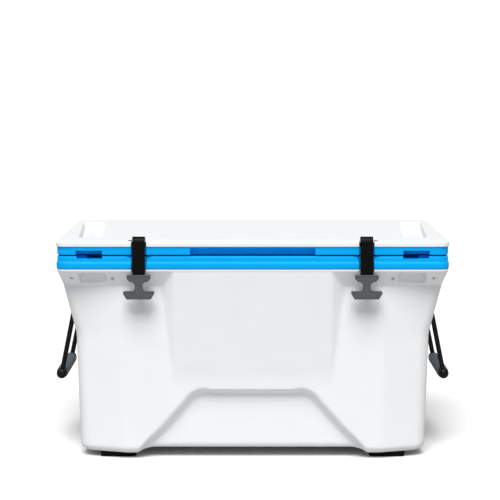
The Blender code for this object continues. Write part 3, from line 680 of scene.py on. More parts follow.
@dataclass
class SoftBox:
    """A box with rounded corners in plan and softened edges above and below."""

    half_x: float
    half_y: float
    low: float
    high: float
    corner: float
    top_edge: float
    low_edge: float

    def place(self, x: float, y: float, z: float) -> tuple[float, float, float]:
        """Move a point of the plain box's grid onto the softened box.

        Args:
            x: place along X on the plain box.
            y: place along Y.
            z: place along Z.

        Returns:
            The softened place.
        """
        depth = min(self.half_x - abs(x), self.half_y - abs(y))
        inset = depth
        for level, edge, up in ((self.high, self.top_edge, 1), (self.low, self.low_edge, -1)):
            rise = up * (level - z)
            if edge <= 0 or depth >= edge or rise >= edge:
                continue
            angle = math.radians(45 + 45 * depth / edge if rise < 1e-7 else 45 * (1 - rise / edge))
            inset = edge * (1 - math.cos(angle))
            z = level - up * edge * (1 - math.sin(angle))
        if inset != depth:
            x *= (self.half_x - inset) / (self.half_x - depth)
            y *= (self.half_y - inset) / (self.half_y - depth)
        x, y = round_corner(x, y, self.half_x, self.half_y, self.corner)
        return x, y, z


def crowd(y: float, front: float, limit: float, reach: float) -> float:
    """Push the front of a box back to a limit and crowd the grid lines behind it.

    Args:
        y: place along Y.
        front: where the front is.
        limit: where it goes.
        reach: how far behind the front the lines still move.

    Returns:
        The new place along Y.
    """
    share = (y - front) / reach
    return y if share >= 1 else limit + (front + reach - limit) * max(share, 0.0)


def mix(a: float, b: float, share: float) -> float:
    """Between a and b by a share."""
    return a + (b - a) * share


# ---- body ---------------------------------------------------------------------------------------
@dataclass
class BodyShell:
    """The moulded outer shell, with its flared ends, arches, pockets and handle recesses."""

    edge: float = 0.016
    corner: float = 0.021
    pilaster_y: float = 0.194
    facet_x: float = 0.2635
    facet_depth: float = 0.026
    kink_z: float = 0.2535
    kink_x: float = 0.3575
    foot_x: float = 0.3505
    flare_slope: float = 0.2555
    band_low: float = 0.3532
    band_high: float = 0.3866
    band_x: float = 0.3830
    panel_half: float = 0.158
    panel_end: float = 0.157
    arch_top: float = 0.1450
    arch_half: float = 0.116
    arch_lean: float = 0.886
    arch_depth: float = 0.0155
    arch_ledge: float = 0.0130
    belly_z: float = 0.0208
    latch_x: float = 0.2257
    channel_half: float = 0.0145
    channel_y: float = 0.2065
    pocket_low: float = 0.2905
    pocket_high: float = 0.3455
    pocket_top: float = 0.3820
    pocket_y: float = 0.1865
    recess_x: float = 0.345
    recess_half_y: float = 0.118
    recess_low: float = 0.205
    recess_high: float = 0.362
    recess_corner: float = 0.022
    drain_x: float = 0.339
    drain_z: float = 0.0745
    drain_radius: float = 0.030
    low: Vector = field(init=False)
    high: Vector = field(init=False)

    def __post_init__(self) -> None:
        """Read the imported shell's box."""
        self.low, self.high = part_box("body_shell")

    def end_x(self, z: float) -> float:
        """Half length of the body at a level."""
        upright = self.foot_x + (self.kink_x - self.foot_x) * (z - self.low.z) / (self.kink_z - self.low.z)
        flared = self.kink_x + (z - self.kink_z) * self.flare_slope
        band_height = self.band_high - self.band_low
        band = self.band_x + (z - self.band_low) * (self.high.x - self.band_x) / band_height
        return soft_min(soft_max(upright, min(flared, band), 3 * MM), self.high.x, 0.6 * MM)

    def side_y(self, z: float) -> float:
        """Half depth of the body beside the panel at a level."""
        rise = (z - self.band_low) / (self.band_high - self.band_low)
        sloped = mix(self.pilaster_y, self.high.y, rise)
        return soft_min(soft_max(self.pilaster_y, sloped, 2 * MM), self.high.y, 0.8 * MM)

    def facet(self, x: float, z: float) -> float:
        """Share of the half depth that is left where the front turns into the corner facet."""
        along = (abs(x) - self.facet_x) / (self.end_x(z) - self.facet_x)
        fade = clamp((self.band_high - z) / (self.band_high - self.band_low))
        return 1 - self.facet_depth / self.pilaster_y * soft_max(along, 0.0, 0.06) * fade

    def panel(self, x: float, z: float, depth: float) -> float:
        """Bring the middle of the face out towards the rim."""
        slope = (self.high.y - self.pilaster_y) / (self.high.z - self.panel_end)
        proud = soft_max(slope * (z - self.panel_end), 0.0, 3 * MM)
        side = (abs(x) - self.panel_half) / 1.45
        return soft_max(depth, self.pilaster_y + soft_min(proud, proud - side, 3 * MM), 2 * MM)

    def arch(self, x: float, z: float) -> float:
        """How far into the low arch a place is: 0 outside, 1 on its flat."""
        side = (abs(x) - self.arch_half - (self.arch_top - z) * self.arch_lean)
        side /= math.hypot(1, self.arch_lean)
        edge = soft_max(z - self.arch_top, side, 24 * MM)
        return soft_min(soft_max(-edge / self.arch_ledge, 0.0, 0.10), 1.0, 0.25)

    def pocket(self, x: float, z: float, depth: float) -> float:
        """Scoop the tie-down pocket out of the band."""
        middle = (self.pocket_low + self.pocket_high) / 2
        half = (self.pocket_high - self.pocket_low) / 2
        floor_z = self.band_low - 12 * MM
        centre_z, half_z = (self.pocket_top + floor_z) / 2, (self.pocket_top - floor_z) / 2
        edge = box_distance(abs(x) - middle, z - centre_z, half, half_z, 7 * MM)
        scoop = self.pocket_y + (self.pilaster_y - self.pocket_y) * ramp(z, self.band_low + 12 * MM,
                                                                        self.band_low - 6 * MM)
        scoop *= self.facet(x, self.band_low) / self.facet(middle, self.band_low)
        return mix(depth, min(depth, scoop), ramp(edge, 1.3 * MM, -1.3 * MM))

    def front(self, x: float, z: float, depth: float, latched: bool) -> float:
        """Depth of the front or back face.

        Args:
            x: place along the face.
            z: level.
            depth: depth before the features.
            latched: whether this is the front, which has the strap channels and the pockets.

        Returns:
            The depth with the panel, the arch, the channels and the pockets.
        """
        depth = self.panel(x, z, depth)
        depth -= self.arch_depth * self.arch(x, z)
        if latched and z > self.band_low - 15 * MM:
            wall = abs(abs(x) - self.latch_x) - self.channel_half
            depth = mix(depth, min(depth, self.channel_y), ramp(wall, 0.7 * MM, -0.7 * MM))
            depth = self.pocket(x, z, depth)
        return depth

    def lift(self, x: float) -> float:
        """How far the underside rises between the two rails."""
        rise = self.belly_z - self.low.z
        high = rise * ramp(abs(x), 0.2225, 0.1975) * 0.28
        return high + rise * 0.72 * ramp(abs(x), 0.2345, 0.2190)

    def wall(self, x: float, y: float, z: float) -> tuple[float, float, float]:
        """Place of a point of the plain box's side walls."""
        box_x, box_y = self.high.x, self.high.y
        on_end = abs(abs(x) - box_x) < 1e-7
        sink = clamp((self.low.z + self.edge - z) / self.edge)
        inset = self.edge * (1 - math.sqrt(1 - sink * sink))
        level = z
        squeeze = 1 - clamp((z - self.low.z) / (50 * MM))
        spread = (self.end_x(level) - self.facet_x) / (box_x - self.facet_x)
        x = math.copysign(self.facet_x + (abs(x) - self.facet_x) * spread, x) if abs(x) > self.facet_x else x
        y *= self.side_y(level) / box_y
        if on_end:
            y, level = self.recess_warp(y, level)
            x = math.copysign(self.end_x(level), x)
        half_x, half_y = self.end_x(level), self.side_y(level)
        x, y = round_corner(x, y, half_x, half_y, self.corner)
        if on_end:
            x = math.copysign(self.recessed(abs(x), y * self.facet(x, level), level), x)
        y *= self.facet(x, level)
        if not on_end:
            depth = self.front(x, level, abs(y), y < 0) if abs(x) < half_x - self.corner else abs(y)
            y = math.copysign(depth, y)
        shrink = 1 - 0.45 * self.arch(x, level)
        x *= 1 - inset / half_x
        y *= 1 - inset * shrink / half_y
        return x, y, level + self.lift(x) * squeeze

    def recess_warp(self, y: float, z: float) -> tuple[float, float]:
        """Bend the grid lines of an end wall round the handle recess."""
        half_z = (self.recess_high - self.recess_low) / 2
        centre = self.recess_low + half_z
        reach = self.facet(self.end_x(centre), centre)
        y, z = round_patch(y * reach, z - centre, self.recess_half_y, half_z, self.recess_corner)
        return y / reach, z + centre

    def recessed(self, x: float, y: float, z: float) -> float:
        """Half length of the end wall with the handle recess in it."""
        half_z = (self.recess_high - self.recess_low) / 2
        edge = box_distance(y, z - self.recess_low - half_z, self.recess_half_y, half_z, self.recess_corner)
        return mix(x, min(x, self.recess_x), ramp(edge, 2.2 * MM, -2.2 * MM))

    def form(self, x: float, y: float, z: float) -> tuple[float, float, float]:
        """Place of any point of the plain box."""
        box_x, box_y = self.high.x, self.high.y
        if max(abs(x) / box_x, abs(y) / box_y) > 1 - 1e-7:
            return self.wall(x, y, z)
        side_x, side_y = math.copysign(box_x, x), math.copysign(box_y, y)
        across = self.wall(x, side_y, z)
        along = self.wall(side_x, y, z)
        corner = self.wall(side_x, side_y, z)
        blend = ramp(abs(x) / box_x, 0.86, 0.97)
        out_x = mix(across[0], along[0] - corner[0] + across[0], blend * (abs(x) / box_x) ** 8)
        out_y = mix(y / side_y * across[1], along[1] * abs(across[1] / corner[1]), blend)
        return out_x, out_y, across[2]

    def grid(self) -> bmesh.types.BMesh:
        """The plain box with a grid line at every feature, open at the top."""
        spread = self.high.y / (self.pilaster_y - self.facet_depth)
        pocket = [self.facet_x + (x - self.facet_x) * 1.035 for x in (self.pocket_low, self.pocket_high)]
        xs = [0, self.arch_half, self.panel_half, 0.2190, 0.2345, self.facet_x, self.high.x - self.corner,
              self.high.x]
        for edge in (self.latch_x - self.channel_half, self.latch_x + self.channel_half):
            xs += brink(edge, 0.8 * MM)
        xs += brink(pocket[0], 1.6 * MM) + brink(pocket[1], 1.6 * MM)
        ys = [0, self.high.y - self.corner, self.high.y] + brink(self.recess_half_y * spread, 3.0 * MM)
        zs = [self.low.z + self.edge * (1 - math.cos(math.radians(18 * step))) for step in range(6)]
        zs += [self.arch_top, self.arch_top - self.arch_ledge, self.kink_z, self.kink_z + 6 * MM, self.high.z]
        zs += brink(self.recess_low, 2.6 * MM) + brink(self.recess_high, 2.6 * MM)
        zs += (brink(self.band_low, 2.5 * MM) + brink(self.band_high, 1.2 * MM)
               + brink(self.pocket_top, 1.6 * MM))
        bm = grid_box((stations(both_sides(xs), 5 * MM), stations(both_sides(ys), 7 * MM),
                       stations(zs, 4 * MM)))
        bm.normal_update()
        bmesh.ops.delete(bm, geom=[face for face in bm.faces if face.normal.z > 0.5], context="FACES")
        return bm

    def line_tub_room(self, bm: bmesh.types.BMesh) -> None:
        """Close the top round the room that the tub stands in."""
        tub_low, tub_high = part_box("inner_tub")
        gap = 0.4 * MM
        rings = ((tub_high.x + gap, tub_high.y + gap, self.high.z),
                 (tub_high.x + gap, tub_high.y + gap, self.high.z - 2 * MM),
                 (tub_high.x - 22 * MM, tub_high.y - 24 * MM, tub_low.z - gap))
        rim = [edge for edge in bm.edges if edge.is_boundary]
        for half_x, half_y, level in rings:
            made = bmesh.ops.extrude_edge_only(bm, edges=rim)["geom"]
            rim = [item for item in made if isinstance(item, bmesh.types.BMEdge)]
            for vert in (item for item in made if isinstance(item, bmesh.types.BMVert)):
                share = max(abs(vert.co.x) / half_x, abs(vert.co.y) / half_y)
                x, y = round_corner(vert.co.x / share, vert.co.y / share, half_x, half_y, 33 * MM)
                vert.co = (x, y, level)
        bmesh.ops.contextual_create(bm, geom=rim)
        bmesh.ops.recalc_face_normals(bm, faces=bm.faces)

    def build(self) -> bpy.types.Object:
        """Make the shell."""
        bm = self.grid()
        shape(bm, self.form)
        self.line_tub_room(bm)
        shell = place_piece(bm, "outer_shell", Slot.WHITE, "chest", ["body_shell"])
        # The drain stands in a round recess with a softened mouth.
        mouth = self.end_x(self.drain_z) - self.drain_x
        cut_away(shell, [turned(((0, 0), (self.drain_radius, 0), (self.drain_radius, mouth - 2 * MM),
                                 (self.drain_radius + 0.6 * MM, mouth - 0.7 * MM),
                                 (self.drain_radius + 2 * MM, mouth),
                                 (self.drain_radius + 3 * MM, mouth + 3 * MM),
                                 (0, mouth + 3 * MM)),
                                facing((self.drain_x, 0, self.drain_z), (1, 0, 0)), steps=64)])
        return shell


# ---- rim and lid --------------------------------------------------------------------------------
@dataclass(frozen=True)
class FrontFeatures:
    """Places that the rim, the lid base and the lid top share along the front."""

    latch_x: float = 0.2257
    channel_half: float = 0.0145
    channel_y: float = 0.2065
    slot_near: float = 0.2990
    slot_far: float = 0.3500
    reach: float = 0.030

    def stations(self) -> list[float]:
        """Grid stations along X for the strap channels and the lock slots."""
        slots = brink(self.slot_near, 0.8 * MM) + brink(self.slot_far, 0.8 * MM)
        return self.channels() + both_sides(slots)

    def channels(self) -> list[float]:
        """Grid stations along X for the strap channels alone."""
        near, far = self.latch_x - self.channel_half, self.latch_x + self.channel_half
        return both_sides(brink(near, 0.8 * MM) + brink(far, 0.8 * MM))

    def channelled(self, x: float, y: float, front: float) -> float:
        """Depth of a point, set back where the strap lies."""
        wall = abs(abs(x) - self.latch_x) - self.channel_half
        back = crowd(-y, front, self.channel_y, -self.reach) if y < 0 else -y
        return -mix(-y, back, ramp(wall, 0.7 * MM, -0.7 * MM)) if y < 0 else y

    def in_slot(self, x: float) -> float:
        """How far a place lies within a lock slot's width, 0 to 1."""
        middle, half = (self.slot_near + self.slot_far) / 2, (self.slot_far - self.slot_near) / 2
        return ramp(abs(abs(x) - middle) - half, 0.7 * MM, -0.7 * MM)


@dataclass(frozen=True)
class Knuckles:
    """Hinge knuckles on the back edge."""

    hinge_x: float = 0.235
    hinge_y: float = 0.2245
    hinge_z: float = 0.4170
    radius: float = 0.009
    rod: float = 0.0041

    def barrels(self, spans: Sequence[tuple[float, float]], web_low: float, web_high: float,
                web_y: float) -> list[bmesh.types.BMesh]:
        """Barrels with their webs.

        Args:
            spans: start and end of each barrel along X, from the hinge's middle.
            web_low: underside of the web.
            web_high: top of the web.
            web_y: how deep the web is let into the edge.

        Returns:
            The meshes for both hinges.
        """
        made = []
        chamfer = 0.8 * MM
        for side, _ in SIDES:
            for start, end in spans:
                length = end - start
                profile = ((self.rod, 0), (self.radius - chamfer, 0), (self.radius, chamfer),
                           (self.radius, length - chamfer), (self.radius - chamfer, length),
                           (self.rod, length))
                centre = (side * self.hinge_x + start, self.hinge_y, self.hinge_z)
                made.append(turned(profile, facing(centre, (1, 0, 0)), 40))
                web = rounded_block((length, self.hinge_y + 4.5 * MM - web_y, web_high - web_low),
                                    (side * self.hinge_x + start + length / 2,
                                     (self.hinge_y + 4.5 * MM + web_y) / 2, (web_low + web_high) / 2),
                                    1.2 * MM, upright=Axis.X, edge=0.5 * MM, steps=3)
                made.append(web)
        return made


@dataclass
class Rim:
    """The coloured rim on top of the body, with its bead, lock holes and hinge knuckles."""

    outline: SoftBox = field(
        default_factory=lambda: SoftBox(0.391, 0.215, 0.390, 0.4158, 0.022, 0.002, 0.003))
    front: FrontFeatures = field(default_factory=FrontFeatures)
    window_x: float = 0.315
    window_y: float = 0.147
    window_corner: float = 0.030
    bead_low: float = 0.4022
    bead_high: float = 0.4047
    bead_step: float = 0.0016
    hole_near: float = 0.300
    hole_far: float = 0.328
    hole_front: float = -0.2105
    hole_back: float = -0.1935
    notch_drop: float = 0.0045
    groove_back: float = -0.1715
    relief_length: float = 0.012
    relief_depth: float = 0.003

    def form(self, x: float, y: float, z: float) -> tuple[float, float, float]:
        """Place of a point of the plain box."""
        box = self.outline
        depth = min(box.half_x - abs(x), box.half_y - abs(y))
        step = self.bead_step * ramp(z, self.bead_low, self.bead_high) * (1 - ramp(depth, 0, 8 * MM))
        holed = ramp(abs(abs(x) - (self.hole_near + self.hole_far) / 2), 14.6 * MM, 13.6 * MM)
        back = mix(-0.1928, self.groove_back, holed)
        notched = self.front.in_slot(x) * ramp(y, back + 0.7 * MM, back - 0.7 * MM)
        if z > box.high - 5 * MM:
            z -= notched * self.notch_drop * clamp((z - box.high + 5 * MM) / (5 * MM))
        beside = abs(abs(x) - self.front.latch_x) - self.front.channel_half
        if z > box.high - 1 * MM and y < -0.200 and beside > 0:
            z -= self.relief_depth * clamp(1 - beside / self.relief_length) * ramp(y, -0.2085, -0.2105)
        x, y = round_patch(x, y, self.window_x, self.window_y, self.window_corner, 0.12)
        x, y, z = box.place(x, y, z)
        y = self.front.channelled(x, y, box.half_y)
        return x * (1 - step / box.half_x), y * (1 - step / box.half_y), z

    def build(self) -> bpy.types.Object:
        """Make the rim."""
        box = self.outline
        xs = [0, box.half_x - box.corner, box.half_x - box.low_edge, box.half_x - 1 * MM, box.half_x]
        xs += (brink(self.window_x, 2 * MM)[2:3]
               + [self.front.latch_x - 26.5 * MM, self.front.latch_x + 26.5 * MM])
        ys = [0, self.window_y, box.half_y - box.corner, box.half_y - box.low_edge, box.half_y - 1 * MM,
              box.half_y]
        zs = [box.low, box.low + 0.6 * MM, box.low + 1.6 * MM, box.low + box.low_edge, self.bead_low,
              (self.bead_low + self.bead_high) / 2, self.bead_high, box.high - 5 * MM,
              box.high - box.top_edge,
              box.high - 0.7 * MM, box.high]
        xs = stations(both_sides(xs + [self.hole_near, self.hole_far]) + self.front.stations(), 7 * MM)
        ys += [-back for back in brink(self.groove_back, 0.8 * MM)]
        ys = stations(both_sides(ys) + [self.hole_front, self.hole_back, -0.1920, -0.2085], 7 * MM)
        bm = grid_box((xs, ys, stations(zs, 6 * MM)))
        open_window(bm, (-self.window_x, -self.window_y), (self.window_x, self.window_y))
        for side, _ in SIDES:
            near, far = sorted((side * self.hole_near, side * self.hole_far))
            open_window(bm, (near, self.hole_front), (far, self.hole_back))
        shape(bm, self.form)
        bmesh.ops.recalc_face_normals(bm, faces=bm.faces)
        barrels = Knuckles().barrels(((-0.045, -0.0205), (0.0205, 0.045)), 0.400, 0.4155, 0.2100)
        return place_piece(joined(bm, *barrels), "rim", Slot.BLUE, "chest", ["body_rim"])


@dataclass
class LidBase:
    """The coloured lower half of the lid, moulded with the plug that closes the tub."""

    outline: SoftBox = field(
        default_factory=lambda: SoftBox(0.3895, 0.213, 0.4185, 0.4346, 0.022, 0.0005, 0.0016))
    front: FrontFeatures = field(default_factory=FrontFeatures)
    plug_x: float = 0.309
    plug_y: float = 0.141
    plug_corner: float = 0.026
    plug_low: float = 0.3990
    slot_top: float = 0.4270
    slot_y: float = 0.1950
    finger_half: float = 0.1235
    groove_x: float = 0.345
    groove_y: float = 0.177
    groove_half: float = 0.0047
    groove_top: float = 0.4206

    def recess_depth(self, z: float) -> float:
        """Depth of the finger recess at a level: a hooked pull edge under the front."""
        steps = ((0.0, 0.2005), (0.0040, 0.1990), (0.0095, 0.1995), (0.0125, 0.2030), (0.0142, 0.2135))
        rise = z - self.outline.low
        for (low, near), (high, far) in zip(steps, steps[1:]):
            if rise <= high:
                return mix(near, far, clamp((rise - low) / (high - low)))
        return self.outline.half_y

    def form(self, x: float, y: float, z: float) -> tuple[float, float, float]:
        """Place of a point of the plain box."""
        box = self.outline
        under = z < box.low + 1e-7
        if under:
            x, y = round_patch(x, y, self.plug_x, self.plug_y, self.plug_corner, 0.10)
            edge = box_distance(x, y, self.plug_x, self.plug_y, self.plug_corner)
            groove = abs(box_distance(x, y, self.groove_x, self.groove_y, self.plug_corner + 34 * MM))
            z -= (box.low - self.plug_low) * ramp(edge, 0.6 * MM, -1.6 * MM)
            z += (self.groove_top - box.low) * ramp(groove, self.groove_half + 0.3 * MM,
                                                    self.groove_half - 0.3 * MM)
        level = z
        if under and z < box.low:
            return x, y, z
        x, y, z = box.place(x, y, z)
        front = y < 0
        y = self.front.channelled(x, y, box.half_y)
        if front:
            recessed = ramp(abs(x), self.finger_half + 0.6 * MM, self.finger_half - 0.6 * MM)
            y = -mix(-y, min(-y, crowd(-y, box.half_y, self.recess_depth(level), -0.030)), recessed)
            slotted = self.front.in_slot(x) * ramp(level, self.slot_top + 0.4 * MM, self.slot_top - 0.4 * MM)
            y = -mix(-y, min(-y, crowd(-y, box.half_y, self.slot_y, -0.030)), slotted)
        return x, y, z

    def build(self) -> bpy.types.Object:
        """Make the lid base."""
        box = self.outline
        xs = [0, self.finger_half, self.plug_x, box.half_x - box.corner, box.half_x - box.low_edge,
              box.half_x - 0.5 * MM, box.half_x]
        xs += brink(self.finger_half, 0.7 * MM) + brink(self.plug_x, 1.6 * MM) + brink(self.groove_x, 5 * MM)
        ys = [0, box.half_y - box.corner, box.half_y - box.low_edge, box.half_y - 0.5 * MM, box.half_y]
        ys += brink(self.plug_y, 1.6 * MM) + brink(self.groove_y, 5 * MM)
        zs = [box.low, box.low + 0.5 * MM, box.low + 1.6 * MM, box.low + 4 * MM, self.slot_top - 0.5 * MM,
              self.slot_top + 0.5 * MM, box.low + 9.5 * MM, box.low + 12.5 * MM, box.low + 14.2 * MM,
              box.high - 0.5 * MM, box.high]
        xs = stations(both_sides(xs) + self.front.stations(), 7 * MM)
        bm = grid_box((xs, stations(both_sides(ys), 7 * MM), stations(zs, 2 * MM)))
        shape(bm, self.form)
        bmesh.ops.recalc_face_normals(bm, faces=bm.faces)
        barrels = Knuckles().barrels(((-0.020, 0.020),), 0.4185, 0.4262, 0.2095)
        return place_piece(joined(bm, *barrels), "lid_base", Slot.BLUE, "lid", ["lid_liner"])


@dataclass
class LidTop:
    """The white top of the lid, with a long tray near each end and notches for the straps."""

    outline: SoftBox = field(
        default_factory=lambda: SoftBox(0.3913, 0.215, 0.4350, 0.4480, 0.022, 0.0062, 0.0010))
    front: FrontFeatures = field(default_factory=lambda: FrontFeatures(channel_y=0.1965, reach=0.045))
    tray_x: float = 0.3366
    tray_y: float = -0.006
    tray_half_x: float = 0.0241
    tray_half_y: float = 0.154
    tray_corner: float = 0.010
    tray_splay: float = 0.0215
    tray_deep: float = 0.0127
    slope_x: float = 0.3720
    slope_drop: float = 0.0024

    def middle(self, y: float) -> float:
        """Middle of the tray at a depth: the trays splay towards the back."""
        return self.tray_x + self.tray_splay * (y - self.tray_y) / (2 * self.tray_half_y)

    def form(self, x: float, y: float, z: float) -> tuple[float, float, float]:
        """Place of a point of the plain box."""
        box = self.outline
        top, low = z > box.high - 1e-7, z < box.low + 1e-7
        side = math.copysign(1.0, x)
        if (top or low) and abs(x) > 0.25:
            splayed = (ramp(abs(x), 0.262, 0.300)
                       * (1 - ramp(abs(x), box.half_x - 20 * MM, box.half_x - 8 * MM)))
            x += side * splayed * (self.middle(y) - self.tray_x)
            u, v = abs(x) - self.middle(y), y - self.tray_y
            u, v = round_patch(u, v, self.tray_half_x, self.tray_half_y, self.tray_corner, 0.30)
            edge = box_distance(u, v, self.tray_half_x, self.tray_half_y, self.tray_corner)
            x, y = side * (u + self.middle(y)), v + self.tray_y
            # The wall on the outer side is laid back, the others are nearly upright.
            lean = 3.4 * MM if u > self.tray_half_x - 6 * MM else 1.8 * MM
            sunk = ramp(edge, 0.2 * MM, -lean)
            z -= self.tray_deep * sunk if top else 0.0
            if sunk > 0:
                return x, y, z
        x, y, z = box.place(x, y, z)
        if z > box.low + 2 * MM:
            z -= self.slope_drop * ramp(abs(x), self.slope_x, box.half_x + 4 * MM)
        y = self.front.channelled(x, y, box.half_y)
        return x, y, z

    def build(self) -> bpy.types.Object:
        """Make the lid top."""
        box = self.outline
        edges = [box.top_edge * share for share in (0.0, 0.12, 0.3, 0.55, 0.8, 1.0)]
        xs = [0, 0.262, box.half_x - box.corner] + [box.half_x - edge for edge in edges]
        for edge in (self.tray_x - self.tray_half_x, self.tray_x + self.tray_half_x):
            xs += [edge + 0.6 * MM * step for step in range(-5, 6)]
        ys = [0, box.half_y - box.corner] + [box.half_y - edge for edge in edges]
        ends = [self.tray_y + sign * (self.tray_half_y - 0.7 * MM * step)
                for sign in (-1, 1) for step in range(-3, 7)]
        zs = [box.low, box.low + 0.4 * MM, box.low + 1.0 * MM] + [box.high - edge for edge in edges]
        xs = stations(both_sides(xs) + self.front.channels(), 7 * MM)
        bm = grid_box((xs, stations(both_sides(ys) + ends, 7 * MM), stations(zs, 3 * MM)))
        shape(bm, self.form)
        bmesh.ops.recalc_face_normals(bm, faces=bm.faces)
        return place_piece(bm, "lid_top", Slot.WHITE, "lid", ["lid_shell"])


@dataclass
class Tub:
    """The inner tub, drawn in towards its floor."""

    top_x: float = 0.315
    top_y: float = 0.147
    floor_x: float = 0.292
    floor_y: float = 0.122
    top_z: float = 0.4105
    floor_z: float = 0.060
    corner: float = 0.029
    fillet: float = 0.014
    wall: float = 0.004
    drain_x: float = 0.300
    drain_z: float = 0.0745
    drain_radius: float = 0.0095

    def form(self, x: float, y: float, z: float) -> tuple[float, float, float]:
        """Place of a point of the plain box."""
        rise = (z - self.floor_z) / (self.top_z - self.floor_z)
        half_x, half_y = mix(self.floor_x, self.top_x, rise), mix(self.floor_y, self.top_y, rise)
        x, y = x * half_x / self.top_x, y * half_y / self.top_y
        soft = SoftBox(half_x, half_y, self.floor_z, self.top_z + 1, self.corner, 0, self.fillet)
        return soft.place(x, y, z)

    def build(self) -> bpy.types.Object:
        """Make the tub."""
        edges = [self.fillet * share for share in (0.0, 0.1, 0.25, 0.45, 0.7, 1.0)]
        xs = both_sides([0, self.top_x - self.corner] + [self.top_x - edge for edge in edges])
        ys = both_sides([0, self.top_y - self.corner] + [self.top_y - edge for edge in edges])
        zs = [self.floor_z + edge for edge in edges] + [self.top_z]
        bm = grid_box((stations(xs, 8 * MM), stations(ys, 8 * MM), stations(zs, 12 * MM)))
        bm.normal_update()
        bmesh.ops.delete(bm, geom=[f for f in bm.faces if f.normal.z > 0.5], context="FACES")
        shape(bm, self.form)
        bmesh.ops.recalc_face_normals(bm, faces=bm.faces)
        tub = place_piece(bm, "tub", Slot.LINER, "chest", ["inner_tub"])
        skin = tub.modifiers.new("skin", "SOLIDIFY")
        skin.thickness, skin.offset = self.wall, 1.0
        hole = turned(((0, -0.03), (self.drain_radius, -0.03), (self.drain_radius, 0.03), (0, 0.03)),
                      facing((self.drain_x, 0, self.drain_z), (1, 0, 0)))
        cut_away(tub, [hole])
        return tub


